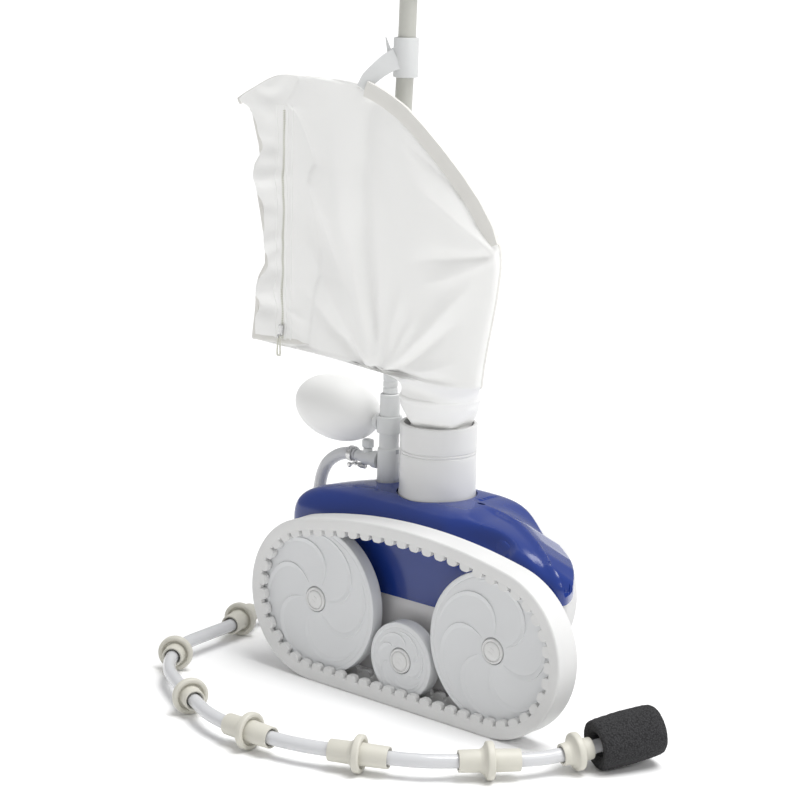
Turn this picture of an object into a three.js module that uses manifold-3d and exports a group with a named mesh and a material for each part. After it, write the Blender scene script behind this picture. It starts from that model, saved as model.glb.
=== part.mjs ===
import * as THREE from 'three';
import Module from 'manifold-3d';
import { mergeVertices } from 'three/addons/utils/BufferGeometryUtils.js';

// Millimetres, +Z up, +X forward, near side (track side) towards -Y.
// Pieces are drawn with Y = 0 on the outer face of the track and X = 0 midway
// between the two large wheels, then the whole group is moved to its origin.

const GAP = 0.3;

// track side
const WHEEL_X = 104;
const WHEEL_Z = 76.5;
const WHEEL_R = 70.4;
const WHEEL_W = 13.6;
const SMALL_R = 35.2;
const SMALL_Z = 42.3;
const FACE_Y = 6.7;
const BELT_R = 76.5;
const BELT_W = 27;
const BELT_TOP = 165.2;
const BAND_T = 5.2;
const LUG_COUNT = 57;
const LUG_ROOT = 11.5;
const LUG_TIP = 17;
const LUG_ROW = 6.4;

// far side
const FAR_X = -8;
const FAR_Z = 77;
const FAR_FACE = 180;
const FAR_W = 23;
const FAR_TYRE_R = 77;
const FAR_RIM_R = 70.6;

// drive
const SHAFT_X = 17.92;
const SHAFT_Z = 43.95;
const SHAFT_R = 3.5;
const GEAR_MODULE = 1.5;
const PINION_TEETH = 8;
const NEAR_RING_TEETH = 32;
const FAR_RING_TEETH = 64;

// body
const TUBE_X = -32.7;
const MID_Y = 91;
const TUBE_R = 35.2;
const TUBE_BORE = 31.75;
const TUBE_TOP = 243;
const TUBE_FOOT = 11;
const MAST_X = -92.4;
const MAST_R = 9.3;
const MAST_TOP = 260;
const SHELL_TOP = 177;
const SHELL_BASE = 91;
const SHELL_T = 2.5;
const FLOOR_Z = 14;

// hoses
const FEED_R = 8;
const SWEEP_R = 6;
const RING_R = 16.3;

const wasm = await Module();
wasm.setup();

const V3 = (x, y, z) => new THREE.Vector3(x, y, z);
const V2 = (x, y) => new THREE.Vector2(x, y);

function toManifold(geo) {
  const g = geo.clone();
  g.deleteAttribute('normal');
  g.deleteAttribute('uv');
  const m = mergeVertices(g, 1e-4);
  const verts = new Float32Array(m.attributes.position.array);
  const tris = new Uint32Array(m.index.array);
  return new wasm.Manifold(new wasm.Mesh({ numProp: 3, vertProperties: verts, triVerts: tris }));
}

function fromManifold(man) {
  const mesh = man.getMesh();
  const g = new THREE.BufferGeometry();
  g.setAttribute('position', new THREE.BufferAttribute(new Float32Array(mesh.vertProperties), 3));
  g.setIndex(new THREE.BufferAttribute(new Uint32Array(mesh.triVerts), 1));
  return g;
}

function join(first, ...rest) {
  let m = toManifold(first);
  for (const r of rest) m = m.add(toManifold(r));
  return fromManifold(m);
}

function cut(first, ...rest) {
  let m = toManifold(first);
  for (const r of rest) m = m.subtract(toManifold(r));
  return fromManifold(m);
}

function signedVolume(g) {
  const p = g.attributes.position;
  const ix = g.index;
  const a = V3(0, 0, 0);
  const b = V3(0, 0, 0);
  const c = V3(0, 0, 0);
  let v = 0;
  for (let i = 0; i < ix.count; i += 3) {
    a.fromBufferAttribute(p, ix.getX(i));
    b.fromBufferAttribute(p, ix.getX(i + 1));
    c.fromBufferAttribute(p, ix.getX(i + 2));
    v += a.dot(b.cross(c)) / 6;
  }
  return v;
}

function outward(geo) {
  const g = geo.clone();
  g.deleteAttribute('normal');
  g.deleteAttribute('uv');
  const m = mergeVertices(g, 1e-4);
  const keep = [];
  const src = m.index.array;
  for (let i = 0; i < src.length; i += 3) {
    const [a, b, c] = [src[i], src[i + 1], src[i + 2]];
    if (a !== b && b !== c && c !== a) keep.push(a, b, c);
  }
  m.setIndex(keep);
  if (signedVolume(m) < 0) {
    const ix = m.index.array;
    for (let i = 0; i < ix.length; i += 3) [ix[i + 1], ix[i + 2]] = [ix[i + 2], ix[i + 1]];
  }
  return m;
}

// turned piece: profile of [radius, height] pairs, axis along +Z
function turned(profile, segs = 48) {
  const g = new THREE.LatheGeometry(profile.map(([r, z]) => V2(r, z)), segs);
  g.rotateX(Math.PI / 2);
  return outward(g);
}

// turned piece whose height runs along +Y from the given point
function turnedY(profile, x, y, z, segs = 48) {
  const g = turned(profile, segs);
  g.rotateX(-Math.PI / 2);
  g.translate(x, y, z);
  return g;
}

function turnedX(profile, x, y, z, segs = 32) {
  const g = turned(profile, segs);
  g.rotateY(Math.PI / 2);
  g.translate(x, y, z);
  return g;
}

function ring(rIn, rOut, z0, z1, segs = 32) {
  return turned([[rIn, z0], [rOut, z0], [rOut, z1], [rIn, z1], [rIn, z0]], segs);
}

function rod(r, z0, z1, segs = 24) {
  return turned([[0, z0], [r, z0], [r, z1], [0, z1]], segs);
}

function rodY(r, y0, y1, x, z, segs = 24) {
  return turnedY([[0, 0], [r, 0], [r, y1 - y0], [0, y1 - y0]], x, y0, z, segs);
}

function rodX(r, x0, x1, y, z, segs = 24) {
  return turnedX([[0, 0], [r, 0], [r, x1 - x0], [0, x1 - x0]], x0, y, z, segs);
}

function block(x0, x1, y0, y1, z0, z1) {
  const g = new THREE.BoxGeometry(x1 - x0, y1 - y0, z1 - z0);
  g.translate((x0 + x1) / 2, (y0 + y1) / 2, (z0 + z1) / 2);
  return outward(g);
}

// flat outline in X-Z, given thickness along +Y from y0
function slabY(outline, holes, y0, y1) {
  const shape = new THREE.Shape(outline);
  for (const h of holes) shape.holes.push(new THREE.Path(h));
  const g = new THREE.ExtrudeGeometry(shape, { depth: y1 - y0, bevelEnabled: false, steps: 1 });
  g.rotateX(Math.PI / 2);
  g.translate(0, y1, 0);
  return outward(g);
}

// flat outline in X-Y, given thickness along +Z from z0
function slabZ(outline, holes, z0, z1) {
  const shape = new THREE.Shape(outline);
  for (const h of holes) shape.holes.push(new THREE.Path(h));
  const g = new THREE.ExtrudeGeometry(shape, { depth: z1 - z0, bevelEnabled: false, steps: 1 });
  g.translate(0, 0, z0);
  return outward(g);
}

function circlePts(cx, cy, r, n) {
  const out = [];
  for (let i = 0; i < n; i++) {
    const a = (2 * Math.PI * i) / n;
    out.push(V2(cx + r * Math.cos(a), cy + r * Math.sin(a)));
  }
  return out;
}

// round bar following a curve
function swept(points, r, sides, steps, tension = 0.5) {
  const path = new THREE.CatmullRomCurve3(points, false, 'centripetal', tension);
  const shape = new THREE.Shape(circlePts(0, 0, r, sides));
  const g = new THREE.ExtrudeGeometry(shape, { steps, extrudePath: path, bevelEnabled: false });
  return outward(g);
}

// closed skin through equal rings of points; ends capped unless looped
function lofted(rings, looped = false) {
  const n = rings[0].length;
  const pos = [];
  for (const r of rings) for (const p of r) pos.push(p.x, p.y, p.z);
  const idx = [];
  const last = looped ? rings.length : rings.length - 1;
  for (let j = 0; j < last; j++) {
    const k = (j + 1) % rings.length;
    for (let i = 0; i < n; i++) {
      const i2 = (i + 1) % n;
      idx.push(j * n + i, j * n + i2, k * n + i2, j * n + i, k * n + i2, k * n + i);
    }
  }
  if (!looped) {
    for (const j of [0, rings.length - 1]) {
      const c = V3(0, 0, 0);
      for (const p of rings[j]) c.add(p);
      c.divideScalar(n);
      const ci = pos.length / 3;
      pos.push(c.x, c.y, c.z);
      for (let i = 0; i < n; i++) {
        const i2 = (i + 1) % n;
        if (j === 0) idx.push(ci, j * n + i2, j * n + i);
        else idx.push(ci, j * n + i, j * n + i2);
      }
    }
  }
  const g = new THREE.BufferGeometry();
  g.setAttribute('position', new THREE.BufferAttribute(new Float32Array(pos), 3));
  g.setIndex(idx);
  return outward(g);
}

// ---- track ---------------------------------------------------------------

// centre, radius and angles of the arcs that make up the outline of the track
function trackArcs() {
  const rise = BELT_TOP - WHEEL_Z;
  const top = (WHEEL_X ** 2 + rise ** 2 - BELT_R ** 2) / (2 * (rise - BELT_R));
  const zc = BELT_TOP - top;
  const lean = Math.atan2(WHEEL_X, WHEEL_Z - zc);
  return { top, zc, lean };
}

// point and outward direction at distance s along the track, inset from its outside
function trackPoint(s, inset) {
  const { top, zc, lean } = trackArcs();
  const turn = Math.PI - lean;
  const r = BELT_R - LUG_ROOT;
  const lens = [2 * WHEEL_X, r * turn, (top - LUG_ROOT) * 2 * lean, r * turn];
  const total = lens.reduce((a, b) => a + b, 0);
  let d = ((s % total) + total) % total;
  if (d < lens[0]) return V2(-WHEEL_X + d, inset);
  d -= lens[0];
  if (d < lens[1]) {
    const a = -Math.PI / 2 + d / r;
    return V2(WHEEL_X + (BELT_R - inset) * Math.cos(a), WHEEL_Z + (BELT_R - inset) * Math.sin(a));
  }
  d -= lens[1];
  if (d < lens[2]) {
    const a = Math.PI / 2 - lean + d / (top - LUG_ROOT);
    return V2((top - inset) * Math.cos(a), zc + (top - inset) * Math.sin(a));
  }
  d -= lens[2];
  const a = Math.PI / 2 + lean + d / r;
  return V2(-WHEEL_X + (BELT_R - inset) * Math.cos(a), WHEEL_Z + (BELT_R - inset) * Math.sin(a));
}

function trackLength() {
  const { top, lean } = trackArcs();
  const turn = Math.PI - lean;
  return 2 * WHEEL_X + 2 * (BELT_R - LUG_ROOT) * turn + (top - LUG_ROOT) * 2 * lean;
}

function trackLoop(inset, n) {
  const total = trackLength();
  const out = [];
  for (let i = 0; i < n; i++) out.push(trackPoint((total * i) / n, inset));
  return out;
}

function lugLoop() {
  const pitch = trackLength() / LUG_COUNT;
  const out = [];
  for (let i = 0; i < LUG_COUNT; i++) {
    for (const [f, inset] of [[0, LUG_ROOT], [0.24, LUG_ROOT], [0.33, LUG_TIP], [0.91, LUG_TIP]]) {
      out.push(trackPoint(pitch * (i + f), inset));
    }
  }
  return out;
}

function trackBelt() {
  const n = 64;
  const chamfer = 1.6;
  const edge = trackLoop(chamfer, n);
  const full = trackLoop(0, n);
  const inner = trackLoop(BAND_T, n);
  const level = (pts, y) => pts.map((p) => V3(p.x, y, p.y));
  const band = lofted([
    level(edge, 0), level(full, chamfer), level(full, BELT_W - chamfer),
    level(edge, BELT_W), level(inner, BELT_W), level(inner, 0),
  ], true);
  const mid = trackLoop(BAND_T - 2, n);
  const nearRow = slabY(mid, [lugLoop()], 0.4, LUG_ROW);
  const flange = slabY(mid, [trackLoop(LUG_TIP, n)], BELT_W - LUG_ROW, BELT_W - 0.4);
  return join(band, nearRow, flange);
}

// ---- wheels --------------------------------------------------------------

// tooth outline; inside true gives the gap line of a ring gear
function gearOutline(teeth, inside) {
  const rp = (teeth * GEAR_MODULE) / 2;
  const add = 0.8 * GEAR_MODULE;
  const ded = 1.05 * GEAR_MODULE;
  const tip = inside ? rp - add : rp + add;
  const root = inside ? rp + ded : rp - ded;
  const step = (2 * Math.PI) / teeth;
  const out = [];
  for (let i = 0; i < teeth; i++) {
    const a = step * i;
    for (const [f, r] of [[-0.3, root], [-0.1, tip], [0.1, tip], [0.3, root]]) {
      out.push(V2(r * Math.cos(a + f * step), r * Math.sin(a + f * step)));
    }
  }
  return out;
}

function shifted(pts, x, z, turn = 0) {
  const c = Math.cos(turn);
  const s = Math.sin(turn);
  return pts.map((p) => V2(x + p.x * c - p.y * s, z + p.x * s + p.y * c));
}

function wheelProfile(radius) {
  return [
    [8.3, 7], [11.7, 7], [11.7, 0], [radius - 1.4, 0], [radius, 1.4],
    [radius, WHEEL_W], [radius - 3.4, WHEEL_W], [radius - 3.4, 3.6], [14.6, 3.6],
    [14.6, 8.4], [10.5, 8.8], [10.5, WHEEL_W - 0.6], [8.3, WHEEL_W - 0.6], [8.3, 7],
  ];
}

function largeWheel(x) {
  const body = turnedY(wheelProfile(WHEEL_R), x, FACE_Y, WHEEL_Z, 40);
  const ribs = [];
  for (let i = 0; i < 6; i++) {
    const rib = block(13.8, WHEEL_R - 2.6, -1.2, 1.2, 3.2, 8);
    rib.rotateX(-Math.PI / 2);
    rib.rotateY((Math.PI / 3) * i);
    rib.translate(x, FACE_Y, WHEEL_Z);
    ribs.push(rib);
  }
  return join(body, ...ribs);
}

function centreWheel() {
  const body = turnedY(wheelProfile(SMALL_R), 0, FACE_Y, SMALL_Z, 32);
  const turn = Math.atan2(SHAFT_Z - SMALL_Z, SHAFT_X) + Math.PI / NEAR_RING_TEETH;
  const teeth = shifted(gearOutline(NEAR_RING_TEETH, true), 0, SMALL_Z, turn);
  const rim = circlePts(0, SMALL_Z, SMALL_R - 2.4, 32);
  return join(body, slabY(rim, [teeth], FACE_Y + 3.3, FACE_Y + WHEEL_W));
}

function farWheel() {
  const r = FAR_RIM_R - 0.3;
  const profile = [
    [8.3, 7], [11.7, 7], [11.7, 0], [r - 2, 0], [r, 2], [r, FAR_W - 3],
    [r - 3.4, FAR_W - 3], [r - 3.4, 4], [14.6, 4], [14.6, FAR_W - 2], [8.3, FAR_W - 2], [8.3, 7],
  ];
  const body = turned(profile, 36);
  body.rotateX(Math.PI / 2);
  body.translate(FAR_X, FAR_FACE, FAR_Z);
  const dx = SHAFT_X - FAR_X;
  const turn = Math.atan2(SHAFT_Z - FAR_Z, dx) + Math.PI / FAR_RING_TEETH;
  const teeth = shifted(gearOutline(FAR_RING_TEETH, true), FAR_X, FAR_Z, turn);
  const wall = circlePts(FAR_X, FAR_Z, 53.5, 36);
  return join(outward(body), slabY(wall, [teeth], FAR_FACE - FAR_W + 3, FAR_FACE - 3.7));
}

function farTyre() {
  const prof = [
    [FAR_RIM_R, 1], [FAR_TYRE_R - 2, 1], [FAR_TYRE_R, 4], [FAR_TYRE_R, FAR_W - 5],
    [FAR_TYRE_R - 2, FAR_W - 2], [FAR_RIM_R, FAR_W - 2], [FAR_RIM_R, 1],
  ];
  const g = turned(prof, 36);
  g.rotateX(Math.PI / 2);
  g.translate(FAR_X, FAR_FACE, FAR_Z);
  return outward(g);
}

// flip false: outer face towards -Y
function alongWheel(profile, x, z, face, flip, segs = 18) {
  const g = turned(profile, segs);
  g.rotateX(flip ? Math.PI / 2 : -Math.PI / 2);
  g.translate(x, face, z);
  return outward(g);
}

function hubCap(x, z, face, flip) {
  return alongWheel([[0, -1.7], [10.2, -1.4], [11.4, 0], [11.4, 2.4], [0, 2.4]],
    x, z, face, flip);
}

function axlePin(x, z, face, flip, end) {
  return alongWheel([[0, 2.8], [7.6, 2.8], [7.6, 6.7], [5, 6.7], [5, end], [0, end]],
    x, z, face, flip, 14);
}

function bearing(x, z, face, flip, end) {
  return alongWheel([[5.3, 7], [8, 7], [8, end], [5.3, end], [5.3, 7]], x, z, face, flip, 16);
}

// ---- body ----------------------------------------------------------------

function outlineCurve() {
  const pts = [
    [-162, 38], [-152, 31], [-60, 31], [60, 31], [142, 31], [153, 38], [148, 58],
    [126, 90], [98, 115], [68, 133], [38, 147], [0, 152], [-60, 152], [-98, 141],
    [-130, 114], [-152, 80], [-161, 56],
  ];
  return new THREE.CatmullRomCurve3(pts.map(([x, y]) => V3(x, y, 0)), true, 'centripetal', 0.5);
}

function topHeight(x) {
  const front = Math.max(0, x - 8) / 140;
  const rear = Math.max(0, -70 - x) / 90;
  return SHELL_TOP - 21 * front ** 2.2 - 10 * rear ** 2;
}

function smooth(t) {
  const c = Math.min(1, Math.max(0, t));
  return c * c * (3 - 2 * c);
}

function skirtHeight(x) {
  return SHELL_BASE + 30 * smooth((Math.abs(x + 4) - 52) / 95);
}

function shellSurface(inset, fracs) {
  const centre = V3(TUBE_X, MID_Y, 0);
  const curve = outlineCurve();
  const n = 52;
  const rings = fracs.map(() => []);
  const skirt = [];
  for (let i = 0; i < n; i++) {
    const o = curve.getPoint(i / n);
    const dir = o.clone().sub(centre);
    const far = dir.length() - inset;
    dir.normalize();
    const hole = 28;
    fracs.forEach((f, j) => {
      const d = hole + f * (far - hole);
      const x = centre.x + dir.x * d;
      const y = centre.y + dir.y * d;
      const r = d / far;
      const g = Math.max(0, 1 - r ** 4.2) ** (1 / 3.4);
      const dent = 9 * Math.exp(-(((x - 62) / 26) ** 2)) * Math.exp(-(((y - 42) / 9) ** 2));
      const foot = skirtHeight(x) + 10;
      const z = foot + (topHeight(x) - inset - foot) * g - dent * (f < 1 ? 1 : 0);
      rings[j].push(V3(x, y, z));
    });
    const x = centre.x + dir.x * far;
    skirt.push(V3(x, centre.y + dir.y * far, skirtHeight(x)));
  }
  rings.push(skirt);
  return rings;
}

function topShell() {
  const outer = shellSurface(0, [0, 0.3, 0.56, 0.76, 0.9, 0.97, 1]);
  const inner = shellSurface(SHELL_T, [0, 0.56, 0.93]).reverse();
  const body = lofted([...outer, ...inner], true);
  const tubeHole = rod(TUBE_R + 2.2, 120, 200, 40);
  tubeHole.translate(TUBE_X, MID_Y, 0);
  const mastHole = rod(MAST_R + 2.2, 120, 200, 24);
  mastHole.translate(MAST_X, MID_Y, 0);
  const eye = rod(2.2, 150, 200, 12);
  eye.scale(1.8, 1, 1);
  eye.translate(22, 88, 0);
  return cut(body, tubeHole, mastHole, outward(eye));
}

function chassisOutline(inset) {
  const pts = [
    [-124, 34], [124, 34], [124, 62], [106, 88], [80, 108], [46, 128], [24, 144],
    [-62, 145], [-84, 131], [-112, 106], [-124, 74],
  ];
  const c = V2(0, 88);
  return pts.map(([x, y]) => {
    const d = V2(x, y).sub(c);
    const k = (d.length() - inset * 1.25) / d.length();
    return V2(c.x + d.x * k, c.y + d.y * k);
  });
}

function chassis() {
  const outer = chassisOutline(0);
  const inner = chassisOutline(3);
  const walls = slabZ(outer, [inner], FLOOR_Z, 100);
  const floor = slabZ(chassisOutline(1), [circlePts(TUBE_X, MID_Y, TUBE_R + 0.4, 40)], FLOOR_Z, FLOOR_Z + 3);
  const bosses = [
    rodY(13, 34.5, 50, -WHEEL_X, WHEEL_Z, 16), rodY(13, 34.5, 50, WHEEL_X, WHEEL_Z, 16),
    rodY(13, 128, 143.5, FAR_X, FAR_Z, 16),
  ];
  const solid = join(walls, floor, ...bosses);
  const bores = [
    rodY(5.3, 30, 47, -WHEEL_X, WHEEL_Z, 14), rodY(5.3, 30, 47, WHEEL_X, WHEEL_Z, 14),
    rodY(5.3, 132, 155, FAR_X, FAR_Z, 14), rodY(5.3, 30, 40, 0, SMALL_Z, 14),
    rodY(SHAFT_R + 0.5, 30, 155, SHAFT_X, SHAFT_Z, 12),
    rodX(8.5, -140, -105, 70, 58, 20),
  ];
  return cut(solid, ...bores);
}

function vacuumTube() {
  const t = TUBE_TOP;
  const body = turned([
    [TUBE_BORE, TUBE_FOOT], [TUBE_R, TUBE_FOOT], [TUBE_R, FLOOR_Z + 3.3], [40, FLOOR_Z + 3.3],
    [40, FLOOR_Z + 6], [TUBE_R, FLOOR_Z + 6], [TUBE_R + 0.4, t], [TUBE_BORE, t], [TUBE_BORE, TUBE_FOOT],
  ], 40);
  const holes = [];
  for (let i = 0; i < 3; i++) {
    const h = rodX(2.7, 20, 50, 0, 26, 10);
    h.rotateZ((2 * Math.PI * i) / 3 + Math.PI / 3);
    holes.push(h);
  }
  const g = cut(body, ...holes);
  g.translate(TUBE_X, MID_Y, 0);
  return g;
}

function jetRing() {
  const body = ring(TUBE_R + GAP, 41, FLOOR_Z + 6.4, 33, 28);
  const jets = [];
  for (let i = 0; i < 3; i++) {
    const j = rodX(2.2, 32.4, 37, 0, 26, 10);
    j.rotateZ((2 * Math.PI * i) / 3 + Math.PI / 3);
    jets.push(j);
  }
  const spout = rodX(5.4, -48, -39, 0, 26, 14);
  const g = cut(join(body, ...jets, spout), rodX(4, -50, -44, 0, 26, 10));
  g.translate(TUBE_X, MID_Y, 0);
  return g;
}

// ---- water side ----------------------------------------------------------

function waterDistributor() {
  const body = rod(14, 82, 104, 22);
  const neck = ring(8, MAST_R + 3, 103, 122, 22);
  const stub = rodX(6, 10, 18, 0, 93, 12);
  stub.rotateZ(-Math.PI * 0.3);
  const down = rod(6, 74, 83, 12);
  const back = rodX(6, -20, -10, 0, 93, 12);
  back.rotateZ(0.35);
  const g = join(body, neck, stub, down, back);
  const bore = rod(MAST_R + GAP, 105, 125, 22);
  const out = cut(g, bore, rod(4, 70, 106, 12));
  out.translate(MAST_X, MID_Y, 0);
  return out;
}

function turbineFeedPipe() {
  const a = -Math.PI * 0.3;
  const start = V3(MAST_X + 18.4 * Math.cos(a), MID_Y + 18.4 * Math.sin(a), 93);
  const step = V3(Math.cos(a), Math.sin(a), 0);
  return swept([
    start, start.clone().addScaledVector(step, 8), V3(-66, 50, 93), V3(-40, 46, 93),
    V3(-8, 46, 92), V3(10, 46, 90), V3(17.4, 46, 82), V3(17.9, 46, 74.2),
  ], 5, 8, 22);
}

function jetFeedPipe() {
  return swept([
    V3(MAST_X, MID_Y, 73.6), V3(MAST_X, MID_Y, 50), V3(MAST_X, MID_Y, 34),
    V3(MAST_X + 3.5, MID_Y, 28), V3(MAST_X + 7, MID_Y, 26.2), V3(TUBE_X - 48.4, MID_Y, 26),
  ], 4.5, 8, 12);
}

const JET_X = -126.9;
const JET_Y = 70;
const JET_Z = 58;

function thrustJetSeat() {
  return turnedX([
    [7, 0], [11.5, 0], [11.5, 2.4], [8.2, 2.4], [8.2, 17], [7, 17], [7, 0],
  ], JET_X, JET_Y, JET_Z, 20);
}

// ball with a short spout, free to turn in its seat
function thrustJetNozzle() {
  const profile = [[1.8, -6], [3.2, -6], [3.2, 3]];
  for (let i = 1; i < 8; i++) {
    const a = Math.PI * (0.17 + (0.66 * i) / 8);
    profile.push([6.6 * Math.sin(a), 9 - 6.6 * Math.cos(a)]);
  }
  profile.push([3, 14.8], [1.8, 14.8], [1.8, -6]);
  return turnedX(profile, JET_X, JET_Y, JET_Z, 16);
}

function turbineHousing() {
  const prof = [
    [4.4, 0], [26.4, 0], [26.4, 15], [24.2, 15], [24.2, 2.4], [4.4, 2.4], [4.4, 0],
  ];
  const can = turnedY(prof, SHAFT_X, 38.2, SHAFT_Z, 28);
  const spout = rod(6.4, SHAFT_Z + 25.2, 73.8, 14);
  spout.translate(17.9, 46, 0);
  const bore = rod(4, SHAFT_Z + 22, 80, 10);
  bore.translate(17.9, 46, 0);
  return cut(join(can, spout), bore);
}

function turbineCover() {
  return turnedY([[4.4, 0], [26.4, 0], [26.4, 1.8], [4.4, 1.8], [4.4, 0]], SHAFT_X, 53.5, SHAFT_Z, 28);
}

function turbineWheel() {
  const hub = turnedY([[SHAFT_R + GAP, 0], [8, 0], [8, 11], [SHAFT_R + GAP, 11], [SHAFT_R + GAP, 0]],
    0, 0, 0, 16);
  const blades = [];
  for (let i = 0; i < 8; i++) {
    const b = block(7.2, 22.6, 0.4, 10.6, -0.9, 0.9);
    b.rotateY((2 * Math.PI * i) / 8);
    blades.push(outward(b));
  }
  const web = turnedY([[7.4, 0], [22.6, 0], [22.6, 1.6], [7.4, 1.6], [7.4, 0]], 0, 0, 0, 24);
  const g = join(hub, web, ...blades);
  g.translate(SHAFT_X, 41.4, SHAFT_Z);
  return g;
}

function turbineShaft() {
  const bar = rodY(SHAFT_R, 15.8, FAR_FACE - 6, SHAFT_X, SHAFT_Z, 12);
  const near = slabY(shifted(gearOutline(PINION_TEETH, false), SHAFT_X, SHAFT_Z,
    Math.atan2(SHAFT_Z - SMALL_Z, SHAFT_X)), [], 15.6, 26.5);
  const far = slabY(shifted(gearOutline(PINION_TEETH, false), SHAFT_X, SHAFT_Z,
    Math.atan2(SHAFT_Z - FAR_Z, SHAFT_X - FAR_X)), [], 158, FAR_FACE - 5.6);
  return join(bar, near, far);
}

// ---- mast, float and sweep valve ------------------------------------------

function mast() {
  const prof = [
    [6.5, 105.4], [MAST_R, 105.4], [MAST_R, 160], [10.6, 161], [10.6, 208], [MAST_R, 209],
    [MAST_R, MAST_TOP - 0.8], [MAST_R - 0.8, MAST_TOP], [6.5, MAST_TOP], [6.5, 105.4],
  ];
  const g = turned(prof, 24);
  g.translate(MAST_X, MID_Y, 0);
  const port = rodX(3.4, MAST_X - 14, MAST_X - 5, MID_Y, 194, 10);
  return cut(g, port);
}

function hoseConnector() {
  const prof = [
    [4.2, 248], [6.2, 248], [6.2, MAST_TOP + GAP], [6.9, MAST_TOP + GAP], [6.9, 279],
    [8.6, 279.6], [8.6, 286.6], [4.2, 286.6], [4.2, 248],
  ];
  const g = turned(prof, 22);
  g.translate(MAST_X, MID_Y, 0);
  return g;
}

function floatBody() {
  const half = 47.5;
  const prof = [[0, -half]];
  for (let i = 1; i < 9; i++) {
    const a = -Math.PI / 2 + (Math.PI * i) / 9;
    prof.push([30.5 * Math.cos(a), half * Math.sin(a)]);
  }
  prof.push([5, half - 0.9], [5, half + 1.6], [0, half + 1.6]);
  const g = turned(prof, 20);
  g.rotateY(Math.PI / 2);
  g.rotateY(0.11);
  g.translate(-157.4, MID_Y, 236);
  return outward(g);
}

function floatClip() {
  const wrap = ring(MAST_R + GAP, MAST_R + 2.6, 223, 239, 22);
  const arm = rodX(8, -15.6, -10.6, 0, 231, 14);
  const pad = rodX(6, -12, -10.2, 0, 231, 10);
  const g = cut(join(wrap, arm, pad), rodX(5.6, -16, -13, 0, 230.8, 12));
  g.translate(MAST_X, MID_Y, 0);
  return g;
}

function sweepValveBody() {
  const barrel = turnedX([
    [3, 0], [5.4, 0], [5.4, 9], [6.8, 9.6], [6.8, 21], [8.2, 21.6], [8.2, 28.6], [3, 28.6], [3, 0],
  ], -131.9, MID_Y, 194, 18);
  const post = rod(4.4, 199, 203.4, 12);
  post.translate(-118.4, MID_Y, 0);
  const stem = rod(2.2, 196, 205, 10);
  stem.translate(-118.4, MID_Y, 0);
  return cut(join(barrel, post), stem);
}

function sweepValveKnob() {
  const pts = [];
  for (let i = 0; i < 20; i++) {
    const a = (2 * Math.PI * i) / 20;
    const r = i % 2 ? 6 : 5.4;
    pts.push(V2(r * Math.cos(a), r * Math.sin(a)));
  }
  const head = slabZ(pts, [], 203.8, 212);
  const stem = rod(1.8, 197.5, 204.4, 8);
  const g = join(head, stem);
  g.translate(-118.4, MID_Y, 0);
  return g;
}

function hoseClip() {
  const band = turnedX([[6.9, 0], [7.7, 0], [7.7, 6], [6.9, 6], [6.9, 0]], -140.4, MID_Y, 194.6, 18);
  const ears = block(-139.6, -135.4, MID_Y - 2.6, MID_Y + 2.6, 181.6, 187.4);
  const screw = rodY(1.5, MID_Y - 6, MID_Y + 6, -137.5, 184.2, 8);
  return join(band, ears, screw);
}

// ---- bag -----------------------------------------------------------------

const BAG_Y = 61;
const NECK_R = 34.5;

function bagEdges(z) {
  const rows = [
    [263, -64, 1], [272, -64, 6], [282, -66, 30], [288, -76, 36], [292, -150, 37], [297, -247, 39],
    [310, -248, 42], [340, -240, 46], [370, -232, 51], [409, -240, 55], [440, -246, 47],
    [470, -254, 18], [500, -262, -28], [521, -266, -58], [532, -246, -74], [541, -222, -88],
    [547, -205, -106],
  ];
  for (let i = 0; i < rows.length - 1; i++) {
    const [z0, a0, b0] = rows[i];
    const [z1, a1, b1] = rows[i + 1];
    if (z <= z1 || i === rows.length - 2) {
      const t = (z - z0) / (z1 - z0);
      return [a0 + (a1 - a0) * t, b0 + (b1 - b0) * t];
    }
  }
  return [0, 0];
}

function bagThickness(z) {
  const rise = smooth((z - 262) / 60);
  const fall = smooth((548 - z) / 120);
  return 17.5 - rise - 12 * (1 - fall);
}

function bag() {
  const levels = [
    263, 268, 272, 277, 282, 288, 292, 297, 303, 315, 340, 370, 409, 440, 470, 500, 521, 532, 541, 547,
  ];
  const flatEdge = 76;
  const rings = levels.map((z) => {
    const [xl, xr] = bagEdges(z);
    const half = bagThickness(z);
    const width = xr - xl;
    const flat = Math.min(flatEdge, width * 0.3) * smooth((z - 286) / 12);
    const out = [];
    const n = 12;
    for (let side = 0; side < 2; side++) {
      for (let i = 0; i < n; i++) {
        const f = side === 0 ? i / n : 1 - i / n;
        const x = xl + (width * (1 - Math.cos(Math.PI * f))) / 2;
        const u = Math.max(0, (x - xl - flat) / (width - flat));
        const bulge = Math.sqrt(Math.max(0, Math.sin(Math.PI * Math.min(1, u))));
        const end = f === 0 || f === 1 ? 0.4 : 2.6;
        const t = end + (half - 2.6) * bulge;
        const y0 = BAG_Y + 28 * (1 - smooth((z - 262) / 27));
        const flatPart = V3(x, y0 + (side === 0 ? -t : t), z);
        const neckY = (side === 0 ? -1 : 1) * NECK_R * Math.sin(Math.PI * f);
        const neck = V3(TUBE_X - NECK_R * Math.cos(Math.PI * f), MID_Y + neckY, z);
        out.push(neck.lerp(flatPart, smooth((z - 266) / 22)));
      }
    }
    return out;
  });
  return lofted(rings);
}

function bagCollar() {
  const g = turned([
    [28.4, 222], [TUBE_BORE - GAP, 222], [TUBE_BORE - GAP, TUBE_TOP + GAP], [TUBE_R, TUBE_TOP + GAP],
    [TUBE_R, 250], [30.4, 262.6], [28.4, 262.6], [28.4, 222],
  ], 28);
  g.translate(TUBE_X, MID_Y, 0);
  return g;
}

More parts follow.
